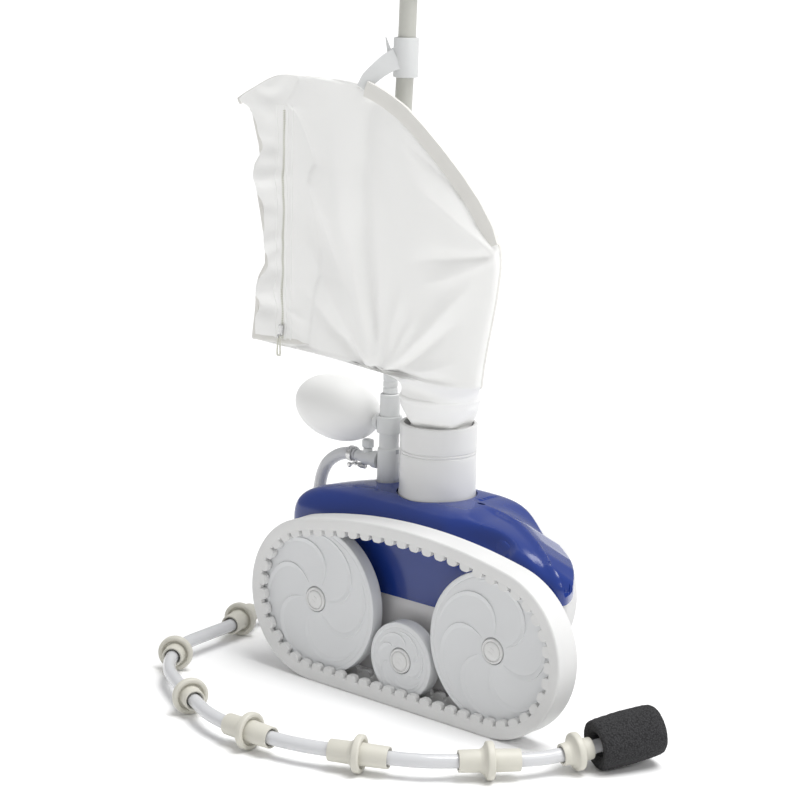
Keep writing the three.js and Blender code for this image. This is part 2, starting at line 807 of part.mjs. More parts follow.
function bagStrap() {
  const wrap = ring(9.2, 11.4, 551, 587, 20);
  wrap.translate(-84, MID_Y, 0);
  const tail = slabY([
    V2(-128, 549.6), V2(-124, 548.4), V2(-92.6, 566), V2(-92.6, 584), V2(-104, 570),
  ], [], 0, 2.4);
  const skew = tail.attributes.position;
  for (let i = 0; i < skew.count; i++) {
    const t = (skew.getX(i) + 128) / 36;
    skew.setY(i, skew.getY(i) + 62 + t * 26.5);
  }
  return join(wrap, outward(tail));
}

const ZIP_X = -201;
// the pull hangs on a small bail in front of the slider, on a line along X
const PULL_Y = BAG_Y - 7;
const PULL_Z = 303;

function zipSlider() {
  const body = block(-204, -198, BAG_Y - 5.8, BAG_Y - 2.9, 303, 314);
  const bail = ring(1.15, 1.85, -0.8, 0.8, 16);
  bail.rotateY(Math.PI / 2);
  bail.translate(ZIP_X, PULL_Y, PULL_Z);
  return join(body, bail);
}

function zipPull() {
  const outline = [
    V2(-202.6, 303.6), V2(-199.4, 303.6), V2(-198.2, 284), V2(-203.8, 284),
  ];
  const hole = block(-202.1, -199.9, PULL_Y - 2, PULL_Y + 2, 299, 302.4);
  return cut(slabY(outline, [], PULL_Y - 0.6, PULL_Y + 0.6), hole);
}

// ---- hoses ---------------------------------------------------------------

function feedHose() {
  return swept([
    V3(MAST_X, MID_Y, 286.9), V3(-91.4, MID_Y, 330), V3(-88.6, MID_Y, 430), V3(-85.4, MID_Y, 530),
    V3(-83.4, MID_Y, 584), V3(-82.6, MID_Y, 625),
  ], FEED_R, 10, 14);
}

function feedHoseFitting() {
  const g = turned([
    [3, 0], [FEED_R + 4, 0], [FEED_R + 4, 8], [FEED_R + 7, 12], [FEED_R + 7, 34],
    [FEED_R + 2, 38], [FEED_R + 2, 52], [3, 52], [3, 0],
  ], 18);
  g.translate(-82.6, MID_Y, 625.3);
  return g;
}

const SWEEP = [
  [-132.3, 91, 194.6], [-141, 91, 194.4], [-151, 91, 192], [-161, 91, 187], [-170, 91, 179],
  [-176, 91, 168], [-180, 92, 155], [-185, 94, 137], [-192, 97, 112], [-201, 100, 86],
  [-214, 102, 60], [-229, 102, 38], [-243, 95, 23], [-250, 82, 17.4], [-249, 70, 16.8],
  [-241, 47, 16.8], [-233, 24, 16.8], [-229, -10, 16.8], [-225, -40, 16.8],
  [-219, -55, 16.8], [-211, -68, 16.8], [-203, -81, 16.8], [-181, -104, 16.8], [-150, -123, 16.8],
  [-131, -132.5, 16.8], [-117.5, -139, 16.8], [-104, -145.5, 16.8], [-76, -158, 16.8],
  [-46, -164, 16.8], [-20, -163, 16.8], [6, -162, 16.8], [31, -157, 16.8],
  [56, -148, 16.8], [81, -137, 16.8], [106, -126, 16.8], [129, -112, 16.8],
  [149, -93, 16.8], [167, -73, 16.8], [185, -53, 16.8], [195, -36, 16.4],
  [201, -22, 16.8], [208, -9, 18.2], [215, 4, 20.2], [228, 30, 24],
].map(([x, y, z]) => V3(x, y, z));

// place in that list of each wear ring's middle, and half its sleeve's length
const RINGS = [[15, 23], [20, 14], [25, 14], [29, 25], [33, 26], [37, 26], [41, 13.5]];

function sweepHose() {
  return swept(SWEEP, SWEEP_R, 8, 58);
}

function placedAlong(geo, at, dir) {
  const q = new THREE.Quaternion().setFromUnitVectors(V3(0, 0, 1), dir);
  geo.applyQuaternion(q);
  geo.translate(at.x, at.y, at.z);
  return geo;
}

function heading(i) {
  return SWEEP[i + 1].clone().sub(SWEEP[i - 1]).normalize();
}

function wearRing(i, half) {
  const r = SWEEP_R + 1.1;
  const g = turned([
    [r, -half], [9.9, -half], [9.9, -5.6], [RING_R, -4], [RING_R, 4], [9.9, 5.6], [9.9, half],
    [r, half], [r, -half],
  ], 12);
  return placedAlong(g, SWEEP[i], heading(i));
}

function tailScrubber() {
  const [last, half] = RINGS.at(-1);
  const from = SWEEP[last].clone().addScaledVector(heading(last), half + 2.4);
  const dir = SWEEP.at(-1).clone().sub(from).normalize();
  const g = turned([
    [SWEEP_R + 3, 0], [20.5, 0], [23, 2.5], [23, 58], [20.5, 60.5], [0, 60.5], [0, 36],
    [SWEEP_R + 3, 36], [SWEEP_R + 3, 0],
  ], 18);
  const placed = placedAlong(g, from, dir);
  placed.computeBoundingBox();
  placed.translate(0, 0, Math.max(0, 0.2 - placed.boundingBox.min.z));
  return placed;
}

// ---- assembly ------------------------------------------------------------

const MATERIALS = {
  white_rubber: ['#dcdcda', 0.75, 0],
  grey_plastic: ['#c9c9c8', 0.55, 0],
  white_plastic: ['#e4e4e2', 0.45, 0],
  blue_shell: ['#1f2f86', 0.22, 0],
  bag_fabric: ['#f0f0ec', 0.9, 0],
  hem_fabric: ['#dedcd2', 0.9, 0],
  steel: ['#b9bbbd', 0.3, 1],
  bearing_plastic: ['#8f9296', 0.5, 0],
  hose_grey: ['#bdbdb4', 0.5, 0],
  hose_clear: ['#dfe5ea', 0.3, 0],
  ivory_plastic: ['#e4e2d6', 0.5, 0],
  foam_black: ['#3a3a3c', 0.95, 0],
  float_white: ['#ececea', 0.5, 0],
};

const group = new THREE.Group();
group.name = 'pool_cleaner';
const cordNodes = ['feed_hose', 'feed_hose_fitting', 'sweep_hose', 'tail_scrubber'];

function add(name, geo, slot) {
  const [color, roughness, metalness] = MATERIALS[slot];
  const mat = new THREE.MeshStandardMaterial({ color, roughness, metalness });
  mat.name = slot;
  const mesh = new THREE.Mesh(geo, mat);
  mesh.name = name;
  group.add(mesh);
}

add('track_belt', trackBelt(), 'white_rubber');
add('front_wheel', largeWheel(WHEEL_X), 'grey_plastic');
add('rear_wheel', largeWheel(-WHEEL_X), 'grey_plastic');
add('centre_wheel', centreWheel(), 'grey_plastic');
add('far_wheel', farWheel(), 'grey_plastic');
add('far_wheel_tyre', farTyre(), 'white_rubber');
for (const [name, x, z, face, flip, len] of [
  ['front', WHEEL_X, WHEEL_Z, FACE_Y, false, 38], ['rear', -WHEEL_X, WHEEL_Z, FACE_Y, false, 38],
  ['centre', 0, SMALL_Z, FACE_Y, false, 30], ['far', FAR_X, FAR_Z, FAR_FACE, true, 46],
]) {
  add(`${name}_hub_cap`, hubCap(x, z, face, flip), 'grey_plastic');
  add(`${name}_axle_pin`, axlePin(x, z, face, flip, len), 'steel');
  add(`${name}_wheel_bearing`, bearing(x, z, face, flip, flip ? FAR_W - 2 : WHEEL_W - 0.6), 'bearing_plastic');
}
add('chassis', chassis(), 'grey_plastic');
add('top_shell', topShell(), 'blue_shell');
add('vacuum_tube', vacuumTube(), 'white_plastic');
add('vacuum_jet_ring', jetRing(), 'bearing_plastic');
add('water_distributor', waterDistributor(), 'bearing_plastic');
add('turbine_feed_pipe', turbineFeedPipe(), 'hose_grey');
add('jet_feed_pipe', jetFeedPipe(), 'hose_grey');
add('thrust_jet_seat', thrustJetSeat(), 'bearing_plastic');
add('thrust_jet_nozzle', thrustJetNozzle(), 'white_plastic');
add('turbine_housing', turbineHousing(), 'bearing_plastic');
add('turbine_cover', turbineCover(), 'bearing_plastic');
add('turbine_wheel', turbineWheel(), 'white_plastic');
add('turbine_shaft', turbineShaft(), 'steel');
add('mast', mast(), 'white_plastic');
add('hose_connector', hoseConnector(), 'white_plastic');
add('float', floatBody(), 'float_white');
add('float_clip', floatClip(), 'white_plastic');
add('sweep_valve_body', sweepValveBody(), 'white_plastic');
add('sweep_valve_knob', sweepValveKnob(), 'white_plastic');
add('sweep_hose_clip', hoseClip(), 'steel');
add('bag', bag(), 'bag_fabric');
add('bag_collar', bagCollar(), 'white_plastic');
add('bag_strap', bagStrap(), 'hem_fabric');
add('zip_slider', zipSlider(), 'steel');
add('zip_pull', zipPull(), 'steel');
add('feed_hose', feedHose(), 'hose_grey');
add('feed_hose_fitting', feedHoseFitting(), 'white_plastic');
add('sweep_hose', sweepHose(), 'hose_clear');
RINGS.forEach(([place, half], i) => {
  const name = `wear_ring_${i + 1}`;
  add(name, wearRing(place, half), 'ivory_plastic');
  cordNodes.push(name);
});
add('tail_scrubber', tailScrubber(), 'foam_black');

// origin: bottom centre of everything except the hoses and what sits on them
const box = new THREE.Box3();
for (const m of group.children) {
  if (cordNodes.includes(m.name)) continue;
  m.geometry.computeBoundingBox();
  box.union(m.geometry.boundingBox);
}
const shift = V3(-(box.min.x + box.max.x) / 2, -(box.min.y + box.max.y) / 2, -box.min.z);
for (const m of group.children) {
  m.geometry.translate(shift.x, shift.y, shift.z);
  m.geometry.computeVertexNormals();
}

export default group;
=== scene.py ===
import bpy
import bmesh
import math
from mathutils import Matrix, Vector, noise


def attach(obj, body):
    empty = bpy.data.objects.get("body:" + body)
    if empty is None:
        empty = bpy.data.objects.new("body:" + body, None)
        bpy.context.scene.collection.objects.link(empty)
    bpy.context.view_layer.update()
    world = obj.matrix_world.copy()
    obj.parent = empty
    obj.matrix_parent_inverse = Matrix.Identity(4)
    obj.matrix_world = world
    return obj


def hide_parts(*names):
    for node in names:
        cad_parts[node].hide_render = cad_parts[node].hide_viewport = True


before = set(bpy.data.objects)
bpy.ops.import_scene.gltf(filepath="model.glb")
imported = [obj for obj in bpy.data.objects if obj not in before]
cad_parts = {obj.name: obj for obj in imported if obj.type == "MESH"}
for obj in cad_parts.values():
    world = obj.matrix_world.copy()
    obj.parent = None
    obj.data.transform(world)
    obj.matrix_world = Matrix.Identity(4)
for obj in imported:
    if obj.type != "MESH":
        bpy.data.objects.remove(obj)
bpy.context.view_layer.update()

print("frame loaded")


# drawing place in millimetres: x from midway between the large wheels, y from the track's
# outer face, z from the floor
def at(x, y, z):
    return Vector(((x + 42.75) / 1000, (y - 90.85) / 1000, z / 1000))


# drawing places of the middle plane, the suction tube, the mast and the zip
midY = 91
tubeX = -32.7
mastX = -92.4
zipX = -201
nearSide = Vector((0, -1, 0))


def smoothStep(t):
    t = min(1.0, max(0.0, t))
    return t * t * (3 - 2 * t)


def bell(x, middle, width):
    return math.exp(-((x - middle) / width) ** 2)


def newObject(name, data):
    obj = bpy.data.objects.new(name, data)
    bpy.context.scene.collection.objects.link(obj)
    return obj


def meshOf(name, bm):
    mesh = bpy.data.meshes.new(name)
    bm.to_mesh(mesh)
    bm.free()
    return mesh


# ---- camera
view = {"place": (1.25456, -1.50741, 0.68660), "azimuth": 40.60, "down": 12.25, "roll": 1.51,
        "lens": 98.9}


def makeCamera():
    az, el, ro = (math.radians(view[k]) for k in ("azimuth", "down", "roll"))
    forward = Vector((-math.sin(az) * math.cos(el), math.cos(az) * math.cos(el), -math.sin(el)))
    side = Vector((math.cos(az), math.sin(az), 0))
    up = side.cross(forward)
    right = side * math.cos(ro) + up * math.sin(ro)
    top = up * math.cos(ro) - side * math.sin(ro)
    data = bpy.data.cameras.new("camera")
    data.lens = view["lens"]
    data.sensor_width = 36
    data.clip_end = 60
    cam = newObject("camera", data)
    turn = Matrix((right, top, -forward)).transposed().to_4x4()
    cam.matrix_world = Matrix.Translation(view["place"]) @ turn
    bpy.context.scene.camera = cam


makeCamera()
print("camera placed")


# ---- finishes
# colour, roughness, scale and depth (m) of the grain, amount and scale of the mottle
finishes = {
    "beltRubber": ((0.70, 0.70, 0.695), 0.62, 900, 0.00006, 0.05, 26),
    "wheelPlastic": ((0.69, 0.70, 0.71), 0.5, 1100, 0.00004, 0.04, 18),
    "tubePlastic": ((0.72, 0.72, 0.715), 0.33, 500, 0.00002, 0.04, 30),
    "mastPlastic": ((0.66, 0.67, 0.67), 0.4, 600, 0.00002, 0.04, 30),
    "shellBlue": ((0.010, 0.034, 0.215), 0.18, 160, 0.00003, 0.10, 9),
    "chassisGrey": ((0.78, 0.77, 0.775), 0.55, 900, 0.00004, 0.08, 22),
    "floatWhite": ((0.84, 0.84, 0.83), 0.5, 700, 0.00005, 0.03, 22),
    "ringIvory": ((0.60, 0.585, 0.52), 0.48, 800, 0.00004, 0.05, 60),
    "feedHose": ((0.50, 0.50, 0.46), 0.36, 400, 0.00003, 0.06, 12),
    "sweepHose": ((0.60, 0.605, 0.62), 0.2, 300, 0.00002, 0.04, 16),
    "steel": ((0.62, 0.62, 0.62), 0.27, 1500, 0.00002, 0.08, 120),
    # dark grey of the inner parts, also used as painted shade in the mast slot
    "innerGrey": ((0.36, 0.37, 0.39), 0.5, 900, 0.00004, 0.05, 40),
    "clearZip": ((0.66, 0.66, 0.58), 0.3, 600, 0.00003, 0.05, 90),
}
coats = {"tubePlastic": 0.15, "shellBlue": 0.15, "sweepHose": 0.3}


def nodesOf(name):
    mat = bpy.data.materials.new(name)
    mat.use_nodes = True
    tree = mat.node_tree
    return mat, tree, tree.nodes["Principled BSDF"]


def link(tree, a, outName, b, inName):
    tree.links.new(a.outputs[outName], b.inputs[inName])


def addNode(tree, kind, **values):
    n = tree.nodes.new(kind)
    for key, value in values.items():
        if hasattr(n, key):
            setattr(n, key, value)
        else:
            n.inputs[key.replace("_", " ")].default_value = value
    return n


# texture on Object coordinates
def pattern(tree, coords, kind, **values):
    texture = addNode(tree, "ShaderNodeTex" + kind, **values)
    link(tree, coords, "Object", texture, "Vector")
    return texture


def bumped(tree, shader, height, **values):
    bump = addNode(tree, "ShaderNodeBump", **values)
    tree.links.new(height, bump.inputs["Height"])
    link(tree, bump, "Normal", shader, "Normal")


def mottled(tree, shader, coords, color, amount, scale):
    wide = pattern(tree, coords, "Noise", Scale=scale, Detail=4.0)
    mix = addNode(tree, "ShaderNodeMix", data_type="RGBA")
    mix.inputs[6].default_value = (*[c * (1 - amount) for c in color], 1)
    mix.inputs[7].default_value = (*[min(1, c * (1 + amount)) for c in color], 1)
    link(tree, wide, "Fac", mix, "Factor")
    tree.links.new(mix.outputs[2], shader.inputs["Base Color"])


def plasticFinish(name):
    color, rough, grain, depth, mottle, mottleScale = finishes[name]
    mat, tree, shader = nodesOf(name)
    coords = addNode(tree, "ShaderNodeTexCoord")
    mottled(tree, shader, coords, color, mottle, mottleScale)
    fine = pattern(tree, coords, "Noise", Scale=grain, Detail=3.0)
    bumped(tree, shader, fine.outputs["Fac"], Distance=depth, Strength=0.6)
    worn = pattern(tree, coords, "Noise", Scale=mottleScale * 4, Detail=5.0)
    span = addNode(tree, "ShaderNodeMapRange")
    span.inputs["To Min"].default_value = rough * 0.85
    span.inputs["To Max"].default_value = rough * 1.15
    link(tree, worn, "Fac", span, "Value")
    link(tree, span, "Result", shader, "Roughness")
    shader.inputs["Metallic"].default_value = 1.0 if name == "steel" else 0.0
    shader.inputs["Coat Weight"].default_value = coats.get(name, 0.0)
    shader.inputs["Coat Roughness"].default_value = 0.06
    return mat


def clothFinish(name, color, pitch, sheen, mottle=0.05):
    mat, tree, shader = nodesOf(name)
    coords = addNode(tree, "ShaderNodeTexCoord")
    mottled(tree, shader, coords, color, mottle, 14)
    both = addNode(tree, "ShaderNodeMath", operation="ADD")
    for i, direction in enumerate("XZ"):
        threads = pattern(tree, coords, "Wave", wave_type="BANDS", bands_direction=direction,
                          Scale=0.314 / pitch, Distortion=0.4)
        tree.links.new(threads.outputs["Fac"], both.inputs[i])
    bumped(tree, shader, both.outputs[0], Distance=pitch * 0.25, Strength=0.5)
    shader.inputs["Roughness"].default_value = 0.55
    shader.inputs["Sheen Weight"].default_value = sheen
    shader.inputs["Sheen Roughness"].default_value = 0.4
    return mat


def foamFinish():
    mat, tree, shader = nodesOf("foamBlack")
    coords = addNode(tree, "ShaderNodeTexCoord")
    pores = pattern(tree, coords, "Voronoi", Scale=700.0)
    # the pore colour runs from 0.05 on the raised cell middles to 0.012 at the pushed-in cell edges: the
    # foam's own charcoal tone with painted shade in the pore hollows
    ramp = addNode(tree, "ShaderNodeValToRGB")
    ramp.color_ramp.elements[0].color = (0.05, 0.05, 0.053, 1)
    ramp.color_ramp.elements[1].color = (0.012, 0.012, 0.013, 1)
    ramp.color_ramp.elements[1].position = 0.8
    link(tree, pores, "Distance", ramp, "Fac")
    link(tree, ramp, "Color", shader, "Base Color")
    bumped(tree, shader, pores.outputs["Distance"], Distance=0.0008, Strength=0.9, invert=True)
    shader.inputs["Roughness"].default_value = 0.95
    return mat


looks = {name: plasticFinish(name) for name in finishes}
looks["bagCloth"] = clothFinish("bagCloth", (0.95, 0.95, 0.935), 0.0006, 0.3, 0.02)
looks["hemTape"] = clothFinish("hemTape", (0.78, 0.77, 0.735), 0.0009, 0.15, 0.05)
looks["foamBlack"] = foamFinish()
print("finishes made")


# ---- mesh helpers
def finished(name, bm, look, sharp=32, body="body", replaces=()):
    bmesh.ops.remove_doubles(bm, verts=bm.verts, dist=1e-6)
    bmesh.ops.dissolve_degenerate(bm, edges=bm.edges, dist=1e-7)
    bmesh.ops.recalc_face_normals(bm, faces=bm.faces)
    bm.normal_update()
    limit = math.radians(sharp)
    for e in bm.edges:
        e.smooth = not (len(e.link_faces) == 2 and e.calc_face_angle(0) > limit)
    for f in bm.faces:
        f.smooth = True
    return placed(name, meshOf(name, bm), look, body, replaces)


def placed(name, mesh, look, body, replaces):
    mesh.materials.clear()
    mesh.materials.append(looks[look])
    obj = newObject(name, mesh)
    if body:
        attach(obj, body)
        if replaces:
            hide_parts(*replaces)
    return obj


# corners of a [radius, height] line rounded by r mm
def rounded(line, r, closed=False, steps=3):
    out = []
    n = len(line)
    for i, p in enumerate(line):
        if not closed and i in (0, n - 1):
            out.append(p)
            continue
        a, b, c = (Vector(q) for q in (line[i - 1], p, line[(i + 1) % n]))
        ab, cb = a - b, c - b
        cutBack = min(r, ab.length * 0.45, cb.length * 0.45)
        if cutBack < 1e-4 or ab.normalized().dot(cb.normalized()) < -0.985:
            out.append(p)
            continue
        s, e = b + ab.normalized() * cutBack, b + cb.normalized() * cutBack
        for k in range(steps + 1):
            t = k / steps
            q = s.lerp(b, t).lerp(b.lerp(e, t), t)
            out.append((q.x, q.y))
    return out


def turnTo(direction):
    return Vector((0, 0, 1)).rotation_difference(Vector(direction).normalized()).to_matrix()


# turned form: [radius, height] in mm, height along direction from a drawing place
def turned(bm, line, place, direction=(0, 0, 1), sides=64, closed=False, wave=None):
    base = at(*place)
    turn = turnTo(direction)
    rings = []
    for r, h in line:
        if r < 1e-6:
            rings.append([bm.verts.new(base + turn @ Vector((0, 0, h / 1000)))])
            continue
        ring = []
        for i in range(sides):
            a = 2 * math.pi * i / sides
            rr, hh = (r, h) if wave is None else wave(r, h, a)
            p = Vector((rr * math.cos(a) / 1000, rr * math.sin(a) / 1000, hh / 1000))
            ring.append(bm.verts.new(base + turn @ p))
        rings.append(ring)
    pairs = list(zip(rings, rings[1:])) + ([(rings[-1], rings[0])] if closed else [])
    for low, high in pairs:
        for i in range(sides):
            k = (i + 1) % sides
            face = [low[i % len(low)], low[k % len(low)], high[k % len(high)], high[i % len(high)]]
            unique = list(dict.fromkeys(face))
            if len(unique) > 2:
                bm.faces.new(unique)


# one piece turned from a [radius, height] line with its corners rounded by soft mm
def lathed(name, line, place, look, replaces=(), body="body", direction=(0, 0, 1), sides=64,
           soft=0.6, closed=False, sharp=35, wave=None, steps=3):
    bm = bmesh.new()
    turned(bm, rounded(line, soft, closed, steps), place, direction, sides, closed, wave)
    return finished(name, bm, look, sharp, body, replaces)


# the same line with more points, from gap to twice gap mm apart where it has room for them, on a
# closed line measured by height alone
def denser(line, gap, closed):
    out = []
    for (r0, h0), (r1, h1) in zip(line, line[1:] + (line[:1] if closed else [])):
        span = abs(h1 - h0) if closed else math.hypot(r1 - r0, h1 - h0)
        parts = max(1, int(span / gap))
        out += [(r0 + (r1 - r0) * k / parts, h0 + (h1 - h0) * k / parts) for k in range(parts)]
    return out if closed else out + [line[-1]]


# box with its size in mm about a place in metres, its foot narrowed along x
def block(size, place=Vector(), foot=1.0):
    bm = bmesh.new()
    bmesh.ops.create_cube(bm, size=0.001)
    for v in bm.verts:
        narrow = foot if v.co.z < 0 else 1.0
        v.co = place + Vector((v.co.x * size[0] * narrow, v.co.y * size[1], v.co.z * size[2]))
    return bm


def bevelled(bm, offset, segments):
    bmesh.ops.bevel(bm, geom=bm.edges[:], offset=offset, segments=segments, affect="EDGES")
    return bm


# skin through equal closed rows of points in metres, either looped back to the first or capped
def skinned(bm, rows, looped=True):
    grid = [[bm.verts.new(p) for p in row] for row in rows]
    n = len(grid[0])
    for j in range(len(grid) if looped else len(grid) - 1):
        low, high = grid[j], grid[(j + 1) % len(grid)]
        for i in range(n):
            k = (i + 1) % n
            bm.faces.new((low[i], low[k], high[k], high[i]))
    if not looped:
        bm.faces.new(grid[0])
        bm.faces.new(grid[-1])


# direction of a line of vectors at one of its points
def wayAt(line, i):
    return (line[min(i + 1, len(line) - 1)] - line[max(i - 1, 0)]).normalized()


# smooth line through points, evenly stepped
def smoothLine(points, steps, cuts=24):
    pts = [Vector(p) for p in points]
    pts = [pts[0] * 2 - pts[1]] + pts + [pts[-1] * 2 - pts[-2]]
    fine = []
    for i in range(1, len(pts) - 2):
        p0, p1, p2, p3 = pts[i - 1:i + 3]
        t1 = max(1e-9, (p1 - p0).length) ** 0.5
        t2 = t1 + max(1e-9, (p2 - p1).length) ** 0.5
        t3 = t2 + max(1e-9, (p3 - p2).length) ** 0.5
        for k in range(cuts):
            t = t1 + (t2 - t1) * k / cuts
            a1 = p0 * ((t1 - t) / t1) + p1 * (t / t1)
            a2 = p1 * ((t2 - t) / (t2 - t1)) + p2 * ((t - t1) / (t2 - t1))
            a3 = p2 * ((t3 - t) / (t3 - t2)) + p3 * ((t - t2) / (t3 - t2))
            b1 = a1 * ((t2 - t) / t2) + a2 * (t / t2)
            b2 = a2 * ((t3 - t) / (t3 - t1)) + a3 * ((t - t1) / (t3 - t1))
            fine.append(b1 * ((t2 - t) / (t2 - t1)) + b2 * ((t - t1) / (t2 - t1)))
    fine.append(pts[-2])
    lengths = [0.0]
    for a, b in zip(fine, fine[1:]):
        lengths.append(lengths[-1] + (b - a).length)
    out = []
    j = 0
    for i in range(steps + 1):
        want = lengths[-1] * i / steps
        while j < len(fine) - 2 and lengths[j + 1] < want:
            j += 1
        t = (want - lengths[j]) / max(1e-12, lengths[j + 1] - lengths[j])
        out.append(fine[j].lerp(fine[j + 1], t))
    return out, lengths[-1]


# round tube along a line in metres, closed at both ends
def tubeAlong(bm, line, radius, sides=24):
    rows = []
    side = None
    for i, p in enumerate(line):
        d = wayAt(line, i)
        if side is None:
            side = d.orthogonal().normalized()
        side = (side - d * side.dot(d)).normalized()
        other = d.cross(side)
        rows.append([p + (side * math.cos(2 * math.pi * k / sides)
                          + other * math.sin(2 * math.pi * k / sides)) * radius
                     for k in range(sides)])
    skinned(bm, rows, looped=False)


# ---- Geometry Nodes: a small form repeated along a line, or round an axis
def newTree(name, label, kind):
    tree = bpy.data.node_groups.new(name, "GeometryNodeTree")
    tree.interface.new_socket("Geometry", in_out="INPUT", socket_type="NodeSocketGeometry")
    ids = {}
    for label, kind in ((label, kind), ("Form", "Object"), ("Count", "Int"), ("Finish", "Material")):
        socket = tree.interface.new_socket(label, in_out="INPUT", socket_type="NodeSocket" + kind)
        ids[label] = socket.identifier
    tree.interface.new_socket("Geometry", in_out="OUTPUT", socket_type="NodeSocketGeometry")
    return tree, ids, tree.nodes.new("NodeGroupInput"), tree.nodes.new("NodeGroupOutput")


# the form spread on points, made real and given its finish
def spreadForm(tree, gIn, gOut):
    kinds = ("ObjectInfo", "InstanceOnPoints", "RealizeInstances", "SetMaterial")
    form, spread, real, finish = (tree.nodes.new("GeometryNode" + kind) for kind in kinds)
    link(tree, gIn, "Form", form, "Object")
    link(tree, form, "Geometry", spread, "Instance")
    link(tree, spread, "Instances", real, "Geometry")
    link(tree, real, "Geometry", finish, "Geometry")
    link(tree, gIn, "Finish", finish, "Material")
    link(tree, finish, "Geometry", gOut, "Geometry")
    return spread


def alongTree():
    tree, ids, gIn, gOut = newTree("repeatAlong", "Line", "Object")
    spread = spreadForm(tree, gIn, gOut)
    path = tree.nodes.new("GeometryNodeObjectInfo")
    even = tree.nodes.new("GeometryNodeResampleCurve")
    tangent = tree.nodes.new("GeometryNodeInputTangent")
    first = addNode(tree, "FunctionNodeAlignRotationToVector", axis="X")
    second = addNode(tree, "FunctionNodeAlignRotationToVector", axis="Y", pivot_axis="X")
    second.inputs["Vector"].default_value = (0, 1, 0)
    link(tree, gIn, "Line", path, "Object")
    link(tree, path, "Geometry", even, "Curve")
    link(tree, gIn, "Count", even, "Count")
    link(tree, even, "Curve", spread, "Points")
    link(tree, tangent, "Tangent", first, "Vector")
    link(tree, first, "Rotation", second, "Rotation")
    link(tree, second, "Rotation", spread, "Rotation")
    return tree, ids


def aroundTree():
    tree, ids, gIn, gOut = newTree("repeatAround", "Centre", "Vector")
    spread = spreadForm(tree, gIn, gOut)
    points = tree.nodes.new("GeometryNodePoints")
    index = tree.nodes.new("GeometryNodeInputIndex")
    step = addNode(tree, "ShaderNodeMath", operation="DIVIDE")
    turn = addNode(tree, "ShaderNodeMath", operation="MULTIPLY")
    turn.inputs[1].default_value = 2 * math.pi
    angles = tree.nodes.new("ShaderNodeCombineXYZ")
    link(tree, gIn, "Count", points, "Count")
    link(tree, gIn, "Centre", points, "Position")
    link(tree, points, "Points", spread, "Points")
    tree.links.new(index.outputs[0], step.inputs[0])
    tree.links.new(gIn.outputs["Count"], step.inputs[1])
    tree.links.new(step.outputs[0], turn.inputs[0])
    tree.links.new(turn.outputs[0], angles.inputs["Y"])
    link(tree, angles, "Vector", spread, "Rotation")
    return tree, ids


along = alongTree()
around = aroundTree()


def repeated(name, tree, values, look, body):
    group, ids = tree
    holder = newObject(name + "Maker", bpy.data.meshes.new(name + "Maker"))
    mod = holder.modifiers.new("repeat", "NODES")
    mod.node_group = group
    for key, value in {**values, "Finish": looks[look]}.items():
        mod[ids[key]] = value
    holder.update_tag()
    graph = bpy.context.evaluated_depsgraph_get()
    graph.update()
    mesh = bpy.data.meshes.new_from_object(holder.evaluated_get(graph), depsgraph=graph)
    mesh.name = name
    holder.modifiers.clear()
    for old in [holder, *[v for v in values.values() if isinstance(v, bpy.types.Object)]]:
        bpy.data.objects.remove(old)
    for poly in mesh.polygons:
        poly.use_smooth = True
    mesh.set_sharp_from_angle(angle=math.radians(32))
    return placed(name, mesh, look, body, ())


def scratch(name, bm):
    bmesh.ops.recalc_face_normals(bm, faces=bm.faces)
    return newObject(name, meshOf(name, bm))


def scratchLine(name, points, closed=False):
    data = bpy.data.curves.new(name, "CURVE")
    data.dimensions = "3D"
    data.twist_mode = "Z_UP"
    spline = data.splines.new("POLY")
    spline.points.add(len(points) - 1)
    for sp, p in zip(spline.points, points):
        sp.co = (*p, 1)
    spline.use_cyclic_u = closed
    return newObject(name, data)


# ---- hoses and what sits on them
hoseRoute = [
    (-132.3, 91, 194.6), (-141, 91, 194.4), (-151, 91, 192), (-161, 91, 187), (-170, 91, 179),
    (-176, 91, 168), (-180, 92, 155), (-185, 94, 137), (-192, 97, 112), (-201, 100, 86),
    (-214, 102, 60), (-229, 102, 38), (-243, 95, 23), (-250, 82, 17.4), (-249, 70, 16.8),
    (-241, 47, 16.8), (-233, 24, 16.8), (-229, -10, 16.8), (-225, -40, 16.8),
    (-219, -55, 16.8), (-211, -68, 16.8), (-203, -81, 16.8), (-181, -104, 16.8),
    (-150, -123, 16.8), (-131, -132.5, 16.8), (-117.5, -139, 16.8), (-104, -145.5, 16.8),
    (-76, -158, 16.8), (-46, -164, 16.8), (-20, -163, 16.8), (6, -162, 16.8), (31, -157, 16.8),
    (56, -148, 16.8), (81, -137, 16.8), (106, -126, 16.8), (129, -112, 16.8), (149, -93, 16.8),
    (167, -73, 16.8), (185, -53, 16.8), (195, -36, 16.4), (201, -22, 16.8), (208, -9, 18.2),
    (215, 4, 20.2), (228, 30, 24),
]
sweepThick, feedThick = 0.012, 0.016
rings = {"places": (15, 20, 25, 29, 33, 37, 41), "halves": (23, 14, 14, 25, 26, 26, 13.5),
         "sleeve": 9.9, "flange": 16.3, "bore": 7.1}
feedRoute = [(-92.4, 91, 286.9), (-91.4, 91, 330), (-88.6, 91, 430), (-85.4, 91, 530),
             (-83.4, 91, 584), (-82.6, 91, 625)]


def heading(i):
    return (Vector(hoseRoute[i + 1]) - Vector(hoseRoute[i - 1])).normalized()


